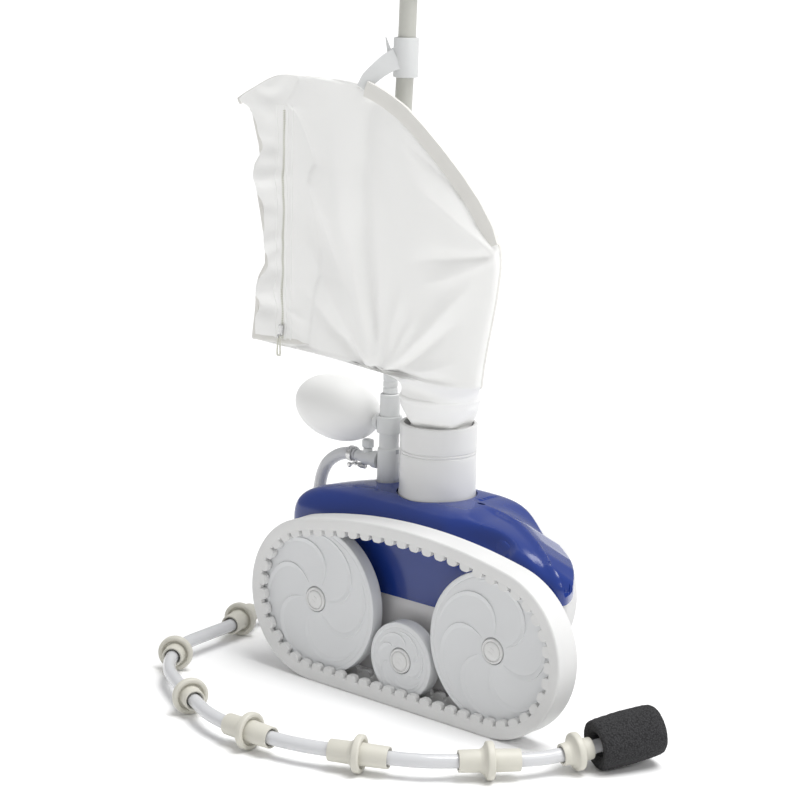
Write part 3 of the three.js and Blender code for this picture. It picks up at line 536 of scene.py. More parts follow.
def wearRing(number, i, half):
    s, f, b = rings["sleeve"], rings["flange"], rings["bore"]
    line = [(b, -half), (s - 0.5, -half), (s - 0.3, -8), (s + 1.0, -5.6), (f - 2.6, -3.6),
            (f - 0.6, -2.9), (f, -1.6), (f, 2.4), (f - 1.2, 3.4), (s + 2.6, 3.4), (s + 1.4, 0.4),
            (s + 0.2, 0.4), (s - 0.2, 4), (s - 0.5, half), (b + 1, half), (b, half - 2), (b, half - 5),
            (b - 0.7, half - 5.5), (b - 0.7, 5.5 - half), (b, 5 - half), (b, 2 - half)]
    line = [(r, h) for r, h in line if abs(h) <= half]
    return lathed(f"ring_with_sleeve_{number}", line, hoseRoute[i], "ringIvory",
                  (f"wear_ring_{number}",), direction=heading(i), sides=48, soft=0.8, closed=True,
                  sharp=40, steps=2)


def scrubber():
    last, half = rings["places"][-1], rings["halves"][-1]
    start = Vector(hoseRoute[last]) + heading(last) * (half + 2.4)
    way = (Vector(hoseRoute[-1]) - start).normalized()
    lift = max(0, 0.2 + 23 - start.z - 2.5)
    start.z += lift
    line = [(9.4, 34), (9.4, 6), (12.6, 2.4), (18.6, 0.6), (21.0, 2.0), (21.9, 8), (22.7, 30),
            (22.1, 52), (21.2, 58), (19.4, 60), (0, 60.2)]
    dense = denser(rounded(line, 2.0), 0.9, False)

    def rough(r, h, a):
        p = Vector((r * math.cos(a), r * math.sin(a), h))
        d = 0.30 * noise.noise(p * 0.35) + 0.26 * noise.noise(p * 1.1) - 0.1
        return r + d, h + 0.15 * noise.noise(p * 0.9 + Vector((7, 3, 1)))

    bm = bmesh.new()
    turned(bm, [(0, 34)] + dense, start, way, 150, wave=rough)
    lowest = min(v.co.z for v in bm.verts)
    for v in bm.verts:
        v.co.z += max(0.0, 0.0002 - lowest)
    return finished("foam_scrubber", bm, "foamBlack", 60,
                    replaces=("tail_scrubber",))


def fitting():
    line = [(3, 0), (12, 0), (12, 8), (15, 12), (15, 34), (10, 38), (10, 52), (3, 52)]
    return lathed("hose_end_fitting", line, (-82.6, midY, 625.3), "tubePlastic",
                  ("feed_hose_fitting",), sides=48, soft=1.2, closed=True, sharp=32)


def makeHoses():
    line, length = smoothLine([at(*p) for p in hoseRoute], 420)
    bm = bmesh.new()
    tubeAlong(bm, line, sweepThick / 2, 20)
    sweep = finished("sweep_hose_tube", bm, "sweepHose", 60,
                     replaces=("sweep_hose",))
    onIt = [wearRing(k + 1, i, h) for k, (i, h) in enumerate(zip(rings["places"], rings["halves"]))]
    onIt.append(scrubber())
    line, length = smoothLine([at(*p) for p in feedRoute], 60)
    bm = bmesh.new()
    tubeAlong(bm, line, feedThick / 2, 32)
    feed = finished("feed_hose_tube", bm, "feedHose", 60,
                    replaces=("feed_hose",))
    fitting()


makeHoses()
print("hoses laid")


# ---- track
track = {"wheelX": 104, "wheelZ": 76.5, "radius": 76.5, "top": 165.2, "width": 27, "band": 5.2,
         "lugRoot": 11.5, "lugTip": 17, "lugs": 57, "lugDeep": 6.4}


# radius and centre height of the top run, its half angle, and the lengths of the four runs
def trackArcs():
    rise = track["top"] - track["wheelZ"]
    r = track["radius"]
    top = (track["wheelX"] ** 2 + rise ** 2 - r ** 2) / (2 * (rise - r))
    zc = track["top"] - top
    lean = math.atan2(track["wheelX"], track["wheelZ"] - zc)
    mid = track["lugRoot"]
    end = (r - mid) * (math.pi - lean)
    return top, zc, lean, [2 * track["wheelX"], end, (top - mid) * 2 * lean, end]


# place inset mm inside the outer face, d mm along the lug roots from the rear of the floor run
def trackPoint(d, inset):
    top, zc, lean, lens = trackArcs()
    x, z, r = track["wheelX"], track["wheelZ"], track["radius"]
    mid = track["lugRoot"]
    d = d % sum(lens)
    if d < lens[0]:
        return -x + d, inset
    d -= lens[0]
    if d < lens[1]:
        a = -math.pi / 2 + d / (r - mid)
        return x + (r - inset) * math.cos(a), z + (r - inset) * math.sin(a)
    d -= lens[1]
    if d < lens[2]:
        a = math.pi / 2 - lean + d / (top - mid)
        return (top - inset) * math.cos(a), zc + (top - inset) * math.sin(a)
    d -= lens[2]
    a = math.pi / 2 + lean + d / (r - mid)
    return -x + (r - inset) * math.cos(a), z + (r - inset) * math.sin(a)


def makeTrack():
    w, band, root, deep = track["width"], track["band"], track["lugRoot"], track["lugDeep"]
    section = [(0, 1.0), (0.4, w / 2), (0, w - 1.0), (1.6, w), (root, w - 0.5), (root, w - deep + 0.6),
               (band, w - deep), (band, deep), (root, deep - 0.6), (root, 0.5), (1.6, 0)]
    section = rounded(section, 1.3, closed=True, steps=3)
    total = sum(trackArcs()[3])
    count = 300
    rows = []
    for k in range(count):
        spots = [(trackPoint(total * k / count, inset), y) for inset, y in section]
        rows.append([at(x, y, z) for (x, z), y in spots])
    bm = bmesh.new()
    skinned(bm, rows)
    finished("track_band", bm, "beltRubber", 38, replaces=("track_belt",))

    # one lug: x along the track, z inwards, y across
    pitch = total / track["lugs"]
    wide, tall, thick = pitch * 0.74, track["lugTip"] - root, deep - 0.7
    outline = [(-wide * 0.54, -1.2), (wide * 0.54, -1.2), (wide * 0.47, tall * 0.7), (wide * 0.26, tall),
               (-wide * 0.26, tall), (-wide * 0.47, tall * 0.7)]
    outline = rounded(outline, 2.2, closed=True, steps=3)
    bm = bmesh.new()
    rows = []
    for y, shrink in ((-thick / 2, 0.86), (-thick / 2 + 0.7, 1.0), (thick / 2, 1.0)):
        rows.append([Vector((u * shrink, y, (v if v < 0 else v * (0.95 if shrink < 1 else 1)))) / 1000
                     for u, v in outline])
    skinned(bm, rows, looped=False)
    lug = scratch("lug", bm)
    for side, y in (("near", 0.45 + thick / 2), ("far", w - 0.45 - thick / 2)):
        line = []
        for k in range(track["lugs"] * 8):
            x, z = trackPoint(total * (k / 8 + 0.5) / track["lugs"], root)
            line.append(at(x, y, z))
        row = newObject("row", lug.data.copy())
        if side == "far":
            for v in row.data.vertices:
                v.co.y = -v.co.y
            row.data.flip_normals()
        repeated("track_lugs_" + side, along,
                 {"Line": scratchLine("lugLine", line, closed=True), "Form": row,
                  "Count": track["lugs"]}, "beltRubber", "body")
    bpy.data.objects.remove(lug)


makeTrack()
print("track made")


# ---- wheels
wheelRows = {
    "front": {"x": 104, "z": 76.5, "r": 70.4, "petals": 6, "turn": 0.4},
    "rear": {"x": -104, "z": 76.5, "r": 70.4, "petals": 6, "turn": 1.1},
    "centre": {"x": 0, "z": 42.3, "r": 35.2, "petals": 6, "turn": 0.2},
}


# across place of the outer face of the near wheels
faceY = 6.7


# hub cap with its dome in mm
def capLine(dome):
    return [(0, -dome), (4.5, 0.05 - dome), (8.0, -1.3), (8.5, -0.1), (9.1, -0.1), (9.6, -1.4),
            (10.6, -1.4), (11.3, -0.3), (11.4, 2.3), (0, 2.3)]


# raised curved line from near the cap to the rim
def petal(r, turn):
    steps = 18
    inner, outer = 15.5, r - 8
    pts = []
    for k in range(steps + 1):
        t = k / steps
        radius = inner + (outer - inner) * math.sin(t * math.pi / 2) ** 0.9
        angle = turn + 1.5 * t ** 1.7
        pts.append(Vector((radius * math.cos(angle), 0, radius * math.sin(angle))) / 1000)
    rows = []
    for k, p in enumerate(pts):
        d = wayAt(pts, k)
        side = Vector((-d.z, 0, d.x))
        swell = math.sin(math.pi * min(1, (k + 0.5) / (steps + 0.5))) ** 0.5
        half = 0.0024 * swell * (r / 70.4) ** 0.5 + 0.0002
        rise = nearSide * 0.0009 * swell
        root = nearSide * -0.0004
        rows.append([p + side * half * 1.6 + root, p + side * half * 0.2 + rise * 0.8,
                     p - side * half * 0.3 + rise, p - side * half * 0.55 + root])
    bm = bmesh.new()
    skinned(bm, rows, looped=False)
    return scratch("petal", bm)


def wheel(name, row):
    r, x, z = row["r"], row["x"], row["z"]
    node = name + "_wheel"
    disc = [(0, 3.0), (11.9, 3.0), (11.9, 0.6), (12.4, 0), (13.4, -0.15), (14.4, 0), (r * 0.55, 0.35),
            (r - 5.2, 0.1), (r - 4.6, 0.5), (r - 3.8, 0), (r, 0), (r, 13.6), (r - 3.4, 13.6),
            (r - 3.4, 3.6), (14.6, 3.8), (14.6, 8.4), (10.6, 8.8), (10.6, 13), (8.4, 13), (8.4, 7),
            (0, 7)]
    lathed(node + "_disc", disc, (x, faceY, z), "wheelPlastic", (node,), node,
           (0, 1, 0), 128, 1.1)
    repeated(node + "_relief", around,
             {"Form": petal(r, row["turn"]), "Centre": at(x, faceY + 0.05, z), "Count": row["petals"]},
             "wheelPlastic", node)

    # cap with two small slanting marks
    bm = bmesh.new()
    turned(bm, rounded(capLine(1.75), 0.6), (x, faceY, z), (0, 1, 0))
    slant = Matrix.Rotation(0.5, 3, "Y")
    for u in (-3.2, 3.2):
        for v in bmesh.ops.create_uvsphere(bm, u_segments=16, v_segments=10, radius=0.0012)["verts"]:
            p = slant @ Vector((v.co.x * 2.6, v.co.y * 0.32, v.co.z * 0.8 + u / 1600))
            v.co = at(x, faceY - 1.65, z) + p
    finished(name + "_cap", bm, "tubePlastic", 40, node, (name + "_hub_cap",))


def farWheel():
    node, inwards = "far_wheel", (0, -1, 0)
    x, face, z = place = (-8, 180, 77)
    disc = [(0, 3.0), (11.9, 3.0), (11.9, 0.4), (13, 0), (16, 0), (20, 1.6), (56, 2.2), (61, 0.4),
            (69.4, 0), (70.3, 1.2), (70.3, 20), (66.9, 20), (66.9, 4), (14.6, 4), (14.6, 21),
            (8.4, 21), (8.4, 7), (0, 7)]
    tyre = [(70.6, 1), (75, 1), (77, 3.6), (76.8, 11), (77, 18.4), (75, 21), (70.6, 21)]
    lathed(node + "_disc", disc, place, "wheelPlastic", (node,), node, inwards, 128,
           1.2)
    lathed("far_tyre", tyre, place, "beltRubber", (node + "_tyre",), node, inwards,
           160, 1.6, closed=True)
    bm = bmesh.new()
    for v in bmesh.ops.create_uvsphere(bm, u_segments=12, v_segments=8, radius=0.001)["verts"]:
        v.co = Vector((v.co.x * 13 + 0.039, v.co.y * 0.9 + 0.0002, v.co.z * 2.4))
    repeated("far_wheel_spokes", around,
             {"Form": scratch("spoke", bm), "Centre": at(x, face - 1.9, z), "Count": 10},
             "wheelPlastic", node)
    lathed("far_cap", capLine(1.65), place, "tubePlastic", ("far_hub_cap",), node,
           inwards, sharp=40)


for wheelName, wheelRow in wheelRows.items():
    wheel(wheelName, wheelRow)
farWheel()
print("wheels made")


# ---- blue shell
shell = {"top": 177, "base": 91, "wall": 2.5, "scoop": 14, "innerRadius": 28, "points": 260}
shellOutline = [
    (-162, 38), (-152, 31), (-60, 31), (60, 31), (142, 31), (153, 38), (148, 58), (126, 90),
    (98, 115), (68, 133), (38, 147), (0, 152), (-60, 152), (-98, 141), (-130, 114), (-152, 80),
    (-161, 56)]
creaseLine = [(16, 92, 177), (28, 90, 177), (72, 80, 173.5), (100, 66, 166), (120, 54, 159),
              (131, 48, 150), (137, 44, 141), (146, 41, 121)]


# points evenly round the outline, from its first corner back to it
def outlinePoints(n):
    loop = shellOutline[-2:] + shellOutline + shellOutline[:3]
    line, _ = smoothLine([(x, y, 0) for x, y in loop], 4000)
    first = Vector((*shellOutline[0], 0))
    atFirst = [i for i, p in enumerate(line) if (p - first).length < 0.35]
    a, b = atFirst[0], atFirst[-1]
    return [line[a + round((b - a) * i / n)] for i in range(n)]


# distance from the crease, positive on the near side, and the crease's height there
def creaseSide(x, y):
    best, height = None, 0
    for (x0, y0, z0), (x1, y1, z1) in zip(creaseLine, creaseLine[1:]):
        dx, dy = x1 - x0, y1 - y0
        t = min(1, max(0, ((x - x0) * dx + (y - y0) * dy) / (dx * dx + dy * dy)))
        ex, ey = x - x0 - dx * t, y - y0 - dy * t
        d = math.hypot(ex, ey)
        side = d if dx * ey - dy * ex < 0 else -d
        if best is None or d < abs(best):
            best, height = side, z0 + (z1 - z0) * t
    return best, height


def shellFoot(x):
    return shell["base"] + 30 * smoothStep((abs(x + 4) - 52) / 95)


# height over (x, y), with r from 0 at the tube's axis to 1 at the outline
def shellHeight(x, y, r, inset):
    front = max(0, x - 8) / 140
    rear = max(0, -70 - x) / 90
    top = shell["top"] - 21 * front ** 2.2 - 4 * rear ** 2
    foot = shellFoot(x) + 10
    g = max(0.0, 1 - r ** 5.6) ** (1 / 3.6)
    z = foot + (top - inset - foot) * g
    side, ridge = creaseSide(x, y)
    if side > 0 and 24 < x < 152:
        z -= 3.2 * smoothStep(side / 9) * smoothStep((x - 24) / 26)
    if side <= 0 and x > 12:
        slope = 0.66 * smoothStep((x - 18) / 52)
        limit = max(foot - 3, ridge + side * slope) - inset
        z = min(z, limit) if z - limit > 4 else z - max(0, z - limit + 4) ** 2 / 16
    reach = math.hypot((x - 62 - 0.25 * (y - 40)) / 42, (y - 36) / 17)
    z -= shell["scoop"] * smoothStep((1 - reach) / 0.55) * (1 if r < 0.999 else 0)
    z += 1.2 * bell(x, 14, 9) * bell(y, 40, 9) * (1 if r < 0.97 else 0)
    return z


def shellRows(inset, fracs):
    centre = Vector((tubeX, midY, 0))
    start = shell["innerRadius"]
    rows = [[] for _ in fracs]
    skirt = []
    for o in outlinePoints(shell["points"]):
        way = o - centre
        far = way.length - inset
        way.normalize()
        for row, f in zip(rows, fracs):
            d = start + f * (far - start)
            p = centre + way * d
            row.append(at(p.x, p.y, shellHeight(p.x, p.y, d / far, inset)))
        p = centre + way * far
        skirt.append(at(p.x, p.y, shellFoot(p.x)))
    rows.append(skirt)
    return rows


# round bores, each with its foot, its radius and its stretch along x
def bored(obj, tools):
    for place, radius, stretch in tools:
        bm = bmesh.new()
        turned(bm, [(0, 0), (radius, 0), (radius, 90), (0, 90)], place, sides=96)
        for v in bm.verts:
            v.co.x = (v.co.x - at(*place).x) * stretch + at(*place).x
        cutter = scratch("cutter", bm)
        mod = obj.modifiers.new("bore", "BOOLEAN")
        mod.operation = "DIFFERENCE"
        mod.solver = "EXACT"
        mod.object = cutter
        bpy.context.view_layer.update()
        graph = bpy.context.evaluated_depsgraph_get()
        mesh = bpy.data.meshes.new_from_object(obj.evaluated_get(graph), depsgraph=graph)
        obj.modifiers.clear()
        obj.data = mesh
        bpy.data.objects.remove(cutter)
    obj.data.set_sharp_from_angle(angle=math.radians(40))


def makeShell():
    outerFracs = [0] + [0.08 + 0.92 * (1 - (1 - k / 34) ** 1.7) for k in range(35)]
    rows = shellRows(0, outerFracs)
    inner = shellRows(shell["wall"], [0.02, 0.5, 0.8, 0.93, 0.985])
    bm = bmesh.new()
    skinned(bm, rows + inner[::-1])
    obj = finished("blue_shell", bm, "shellBlue", 50, replaces=("top_shell",))
    bored(obj, [((tubeX, midY, 120), 37.4, 1), ((mastX, midY, 120), 11.5, 1),
                ((22, 88, 140), 2.3, 1.9)])


makeShell()
print("shell made")


# ---- tube, mast, float and valve
def makeTube():
    r, bore = 35.4, 31.75
    line = [(bore, 11), (35.2, 11), (35.2, 17.3), (40, 17.3), (40, 20), (35.2, 20), (35.2, 168),
            (35.9, 171), (35.9, 176), (35.3, 181), (35.3, 214.9), (34.7, 215.2), (34.7, 216.0),
            (35.3, 216.3), (35.3, 217.6), (34.7, 217.9), (34.7, 218.7), (35.3, 219), (35.55, 242.2),
            (34.6, 243), (bore + 0.4, 243), (bore, 242)]

    def ripple(rad, h, a):
        wavy = 0.35 * math.sin(5 * a + 0.09 * h) * bell(h, 186, 14) if rad > 34 else 0
        return rad + wavy, h

    dense = denser(rounded(line, 0.35, closed=True, steps=2), 4, True)
    lathed("suction_tube", dense, (tubeX, midY, 0), "tubePlastic", ("vacuum_tube",),
           sides=120, soft=0, closed=True, sharp=40, wave=ripple)


def makeMast():
    place = (mastX, midY, 0)
    lathed("mast_post", [(6.5, 105.4), (9.3, 105.4), (9.3, 160.2), (10.6, 161), (10.6, 207.2),
                         (9.9, 208.4), (9.35, 209), (9.3, 259.2), (8.5, 260), (6.5, 260)],
           place, "mastPlastic", ("mast",), closed=True, sides=72, soft=0.5)
    # the tree repeats round Y, so the ribs are laid down for it and stood up again
    bm = block((0.7, 0.9, 17), Vector((0.0106, 0, 0)))
    turn = Matrix.Rotation(math.pi / 2, 4, "X")
    for v in bm.verts:
        v.co = turn @ v.co
    ribs = repeated("mast_ribs", around,
                    {"Form": scratch("rib", bm), "Centre": Vector((0, 0, 0)), "Count": 14},
                    "mastPlastic", None)
    for v in ribs.data.vertices:
        v.co = turn.inverted() @ v.co + at(mastX, midY, 171)
    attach(ribs, "body")
    # dark grey block set flush into the mast, with no hole cut: painted shade standing for the dark
    # inside of the slot
    bm = bevelled(block((1.6, 4.2, 4.4), at(mastX + 9.8, midY, 205.6)), 0.0003, 2)
    finished("mast_slot", bm, "innerGrey")
    lathed("connector", [(4.2, 248), (6.2, 248), (6.2, 260.3), (6.9, 260.3), (6.9, 265), (6.3, 266),
                         (6.9, 267), (6.9, 271), (6.3, 272), (6.9, 273), (6.9, 279), (8.6, 279.6),
                         (8.6, 286.6), (4.2, 286.6)],
           place, "mastPlastic", ("hose_connector",), closed=True, soft=0.4)


def makeFloat():
    half, r, lean = 47.5, 30.5, 0.11
    line = [(0, -half)]
    steps = 40
    for i in range(1, steps):
        a = -math.pi / 2 + math.pi * i / steps
        line.append((r * max(0, math.cos(a)) ** 0.96, half * math.sin(a)))
    line += [(5, half - 0.9), (4.6, half + 1.4), (3.2, half + 1.6), (3, half + 0.4), (0, half + 0.4)]
    lathed("float_body", line, (-157.4, midY, 236), "floatWhite", ("float",), "float",
           (math.cos(lean), 0, -math.sin(lean)), 80, 0)
    bm = bmesh.new()
    turned(bm, rounded([(9.6, 223), (11.9, 223), (11.9, 239), (9.6, 239)], 0.6, closed=True),
           (mastX, midY, 0), closed=True)
    turned(bm, rounded([(0, -10.3), (7.9, -10.3), (8, -14.6), (7.2, -15.5), (5.7, -15.5),
                        (5.6, -13.1), (0, -13.1)], 0.5),
           (mastX, midY, 231), (1, 0, 0), 48)
    finished("float_holder", bm, "mastPlastic", 35, "float", ("float_clip",))


def makeValve():
    knob = (-118.4, midY, 0)
    lathed("valve_barrel", [(3, 0), (5.4, 0), (5.4, 3), (4.9, 3.6), (5.4, 4.2), (5.4, 9), (6.8, 9.6),
                            (6.8, 21), (8.2, 21.6), (8.2, 28.6), (3, 28.6)],
           (-131.9, midY, 194), "mastPlastic", ("sweep_valve_body",),
           direction=(1, 0, 0), closed=True, soft=0.4)
    lathed("valve_post", [(0, 199), (4.4, 199), (4.4, 203.2), (3.6, 203.6), (0, 203.6)],
           knob, "mastPlastic")

    def winged(r, h, a):
        if r < 3:
            return r, h
        return r * (0.8 + 0.22 * abs(math.cos(a)) ** 1.4) + 0.16 * math.cos(16 * a), h

    lathed("valve_wing_knob", [(0, 203.9), (5.2, 203.9), (5.9, 205), (5.9, 210), (5.2, 211.6),
                               (2.6, 212), (0, 211.8)],
           knob, "mastPlastic", ("sweep_valve_knob",), "valve_knob",
           sides=96, soft=0.7, wave=winged)
    bm = bmesh.new()
    turned(bm, rounded([(6.4, 0), (7.5, 0), (7.5, 5.4), (6.4, 5.4)], 0.3, closed=True),
           (-140.1, midY, 194.5), (1, 0, 0), 48, closed=True)
    for sign in (-1, 1):
        turned(bm, rounded([(0, 0), (2.5, 0), (2.5, 1.6), (1.5, 2.2), (0, 2.2)], 0.3),
               (-137.5, midY + sign * 3.6, 184.4), (0, sign, 0), 24)
    turned(bm, [(0, 0), (1.4, 0), (1.4, 8), (0, 8)], (-137.5, midY - 4, 184.4), (0, 1, 0), 24)
    finished("hose_clip_band", bm, "steel", 35, replaces=("sweep_hose_clip",))
    bm = bmesh.new()
    coil = []
    steps, windings = 60, 4
    for k in range(steps + 1):
        a = k / steps * math.pi * 2 * windings
        coil.append(at(-127.5 + k / steps * 7, midY + 2.6 * math.sin(a), 185.2 + 2.2 * math.cos(a)))
    tubeAlong(bm, coil, 0.0006, 8)
    turned(bm, rounded([(0, 0), (2.2, 0), (2.2, 1.8), (0, 1.8)], 0.3), (-130, midY, 185.2),
           (1, 0, 0), 24)
    finished("valve_spring", bm, "steel", 60)


makeTube()
makeMast()
makeFloat()
makeValve()
print("tube, mast, float and valve made")


# ---- bag
bagY = 61
bagLow, bagHigh = 263, 547.5
bagLeft = [
    (263, -64), (272, -64), (282, -66), (288, -76), (291, -150), (294, -243), (310, -241),
    (326, -239), (343, -238), (355, -234.5), (368, -227), (393, -229), (418, -233.5), (436, -239),
    (449, -243.5), (460, -242), (470, -235.5), (481, -237), (498, -242), (511, -247), (515, -252),
    (518, -260), (521, -264), (526, -256), (534, -240), (542, -223), (547, -208), (548, -190)]
bagRight = [
    (263, -1), (270, 6), (278, 26), (288, 38.5), (310, 41), (330, 44.5), (350, 48.5), (372, 52.5),
    (396, 55.5), (413, 55), (430, 48), (450, 33), (470, 13.5), (490, -9), (508, -31), (523, -52),
    (533, -72), (539, -88), (544, -106), (546.5, -125), (548, -150)]
# from (x, z), to (x, z), width, height of the fold
bagCreases = [
    (-72, 284, -208, 532, 15, 4.2), (-74, 286, -176, 470, 9, -3.2), (-70, 286, -150, 512, 13, 3.4),
    (-68, 285, -108, 500, 11, -3.6), (-66, 285, -86, 470, 12, 3.0), (-74, 290, -196, 420, 12, 2.8),
    (-80, 290, -202, 366, 9, -2.4), (-66, 284, -20, 356, 5.5, 2.6), (-64, 283, 28, 352, 5, -2.2),
    (-62, 283, 46, 398, 8, 3.4), (-58, 281, 30, 316, 6, 2.4), (-62, 282, -44, 380, 7, 2.0),
    (54, 408, -46, 392, 9, -3.0), (54, 404, -30, 372, 7, 2.4), (56, 412, -52, 470, 8, 2.6),
    (40, 440, -74, 512, 7, -2.4), (-60, 292, 30, 290, 4, -2.6), (-96, 540, -100, 440, 16, -2.8),
    (-202, 330, -166, 318, 4, 2.0), (-204, 316, -172, 300, 5, -1.6)]


def bagEdges(z):
    out = []
    for side in (bagLeft, bagRight):
        (z0, x0), (z1, x1) = next((pair for pair in zip(side, side[1:]) if z <= pair[1][0]),
                                  (side[-2], side[-1]))
        out.append(x0 + (x1 - x0) * min(1, (z - z0) / (z1 - z0)))
    return out


def crease(x, z, row):
    x0, z0, x1, z1, width, height = row
    dx, dz = x1 - x0, z1 - z0
    span = math.hypot(dx, dz)
    along = ((x - x0) * dx + (z - z0) * dz) / span
    across = (dx * (z - z0) - dz * (x - x0)) / span
    across += 3.5 * noise.noise(Vector((along * 0.02, x0 * 0.3, z1 * 0.3)))
    wide = width * (0.45 + 0.55 * smoothStep(along / (span * 0.6)))
    fade = smoothStep(along / 14) * smoothStep((span - along) / (span * 0.45))
    return height * fade * math.exp(-abs(across / wide) ** 1.5)


def bagFolds(x, z):
    folds = sum(crease(x, z, row) for row in bagCreases)
    wide = 3.0 * noise.noise(Vector((x * 0.011 + z * 0.006, z * 0.005, 3.3)))
    small = 0.7 * noise.noise(Vector((x * 0.045 + z * 0.02, z * 0.016, 5.1)))
    strip = bell(x, -222, 21)
    pucker = 1.5 * math.sin(z * 0.21 + 5 * noise.noise(Vector((x * 0.02, z * 0.02, 8))))
    pucker += 4.2 * (bell(z, 449, 11) - bell(z, 478, 9) - bell(z, 425, 9) + bell(z, 347, 10)
                     - bell(z, 366, 9) - 0.6 * bell(z, 330, 8))
    return folds + wide + small + strip * pucker


def bagThickness(z):
    return 17.5 - smoothStep((z - 262) / 60) - 12 * (1 - smoothStep((548 - z) / 120))


def bagPoint(u, z, front):
    xl, xr = bagEdges(z)
    width = xr - xl
    x = xl + width * (1 - math.cos(math.pi * u)) / 2
    flat = min(76, width * 0.3) * smoothStep((z - 286) / 12)
    flap = 17 * smoothStep((z - 405) / 30)
    v = max(0, (x - xl - flat) / (width - flat - flap))
    bulge = math.sqrt(max(0, math.sin(math.pi * min(1, v))))
    rim = smoothStep(u / 0.08) * smoothStep((1 - u) / 0.08)
    t = 0.8 + 1.6 * rim + (bagThickness(z) - 2.6) * bulge * 0.8
    y = bagY + 28 * (1 - smoothStep((z - 262) / 27))
    sign = -1 if front else 1
    flatPart = at(x, y + sign * t, z)
    r = 34.2 + 2.6 * smoothStep((z - 261) / 9)
    neck = at(-31.5 - r * math.cos(math.pi * u), midY + sign * r * math.sin(math.pi * u), z)
    p = neck.lerp(flatPart, smoothStep((z - 266) / 26))
    fold = 1.35 * bagFolds(x, z) * rim * smoothStep((z - 268) / 10) * (0.55 + 0.45 * bulge)
    edgeWave = 1.6 * noise.noise(Vector((u * 2, z * 0.03, 2.2))) * (1 - rim) * smoothStep((z - 292) / 20)
    edgeWave *= 1 - u
    return p + Vector((0, (sign * fold * (1 if front else 0.4) + edgeWave) / 1000, 0))


def hemStrip(bm, line, out, half=2.4, thick=0.8):
    rows = []
    for i, p in enumerate(line):
        side = wayAt(line, i).cross(out).normalized() * half / 1000
        up = out * thick / 1000
        rows.append([p + side + up * 0.6, p + up, p - side + up * 0.6, p - side - up * 0.6, p - up,
                     p + side - up * 0.6])
    skinned(bm, rows, looped=False)


def makeBag():
    nu, nz = 130, 190
    levels = [bagLow + (bagHigh - 0.5 - bagLow) * k / nz for k in range(nz + 1)]
    rows = []
    for z in levels:
        row = [bagPoint(k / nu, z, True) for k in range(nu)]
        row += [bagPoint(1 - k / nu, z, False) for k in range(nu)]
        rows.append(row)
    bm = bmesh.new()
    skinned(bm, rows, looped=False)
    cloth = finished("bag_cloth", bm, "bagCloth", 80, replaces=("bag",))

    def edge(side, low, high, steps, inset):
        heights = [low + (high - low) * k / steps for k in range(steps + 1)]
        shift = Vector((-inset if side else inset, 1, 0)) / 1000
        return [bagPoint(side, z, True) + shift for z in heights]

    bm = bmesh.new()
    hemStrip(bm, edge(1, 290, 540, 70, 2.2), nearSide, 2.6, 1.9)
    band = [bagPoint(1, 416 + 125 * k / 40, True) + Vector((-6.6, -1.4, 0)) / 1000
            for k in range(41)]
    hemStrip(bm, band, nearSide, 7.0, 2.6)
    hemStrip(bm, edge(0, 297, 513, 70, 2.6), nearSide, 2.2, 2.4)
    top = [(-263.5, 518.6), (-255, 523.5), (-240, 531), (-222, 539.5), (-208, 543.4), (-190, 543.8),
           (-150, 543.6), (-110, 541)]
    hemStrip(bm, smoothLine([at(x, bagY, z) for x, z in top], 60)[0], nearSide, 3.4, 2.0)
    foot = [(-241, 296.6), (-204, 298.2), (-161, 299.4), (-118, 297), (-84, 292.5), (-70, 288)]
    hemStrip(bm, smoothLine([at(x, bagY, z) for x, z in foot], 40)[0], nearSide, 2.6, 2.4)
    hems = finished("bag_hems", bm, "hemTape", 50)


def onBag(x, z, proud):
    xl, xr = bagEdges(z)
    u = math.acos(1 - 2 * (x - xl) / (xr - xl)) / math.pi
    return bagPoint(u, z, True) - Vector((0, proud / 1000, 0))


def makeZip():
    bm = bmesh.new()
    for x, half in ((-203.6, 2.2), (-198.4, 2.2), (-211, 1.0), (-191, 1.0)):
        hemStrip(bm, [onBag(x, 299 + k * 2.1, 0.1) for k in range(106)], nearSide, half, 0.5)
    finished("zip_tape", bm, "bagCloth", 50)
    tooth = scratch("tooth", block((0.85, 1.0, 2.6)))
    path = scratchLine("zipLine", [onBag(zipX, 301 + k * 2.2, 0.4) for k in range(98)])
    repeated("zip_teeth", along, {"Line": path, "Form": tooth, "Count": 130}, "clearZip", "body")
    bm = bevelled(block((6, 2.9, 11), at(zipX, 56.65, 308.5), foot=0.7), 0.0009, 3)
    finished("zip_runner", bm, "steel", body="zip_slider", replaces=("zip_slider",))
    bm = bmesh.new()
    turned(bm, [(1.1, -0.7), (1.9, -0.7), (1.9, 0.7), (1.1, 0.7)], (zipX, 54, 303), (1, 0, 0), 24,
           closed=True)
    finished("zip_bail", bm, "steel", body="zip_slider")
    outer = rounded([(-1.5, 303.6), (1.5, 303.6), (2.7, 287), (2.2, 284.1), (-2.2, 284.1),
                     (-2.7, 287)], 0.9, closed=True)
    middle = 293.4
    inner = [(u * 0.5, middle + (w - middle) * 0.86) for u, w in outer]
    rows = [[at(zipX + u, y, w) for u, w in outline]
            for outline, y in ((outer, 53.45), (outer, 54.55), (inner, 54.55), (inner, 53.45))]
    bm = bmesh.new()
    skinned(bm, rows)
    finished("zip_tab", bm, "clearZip", body="zip_pull", replaces=("zip_pull",))


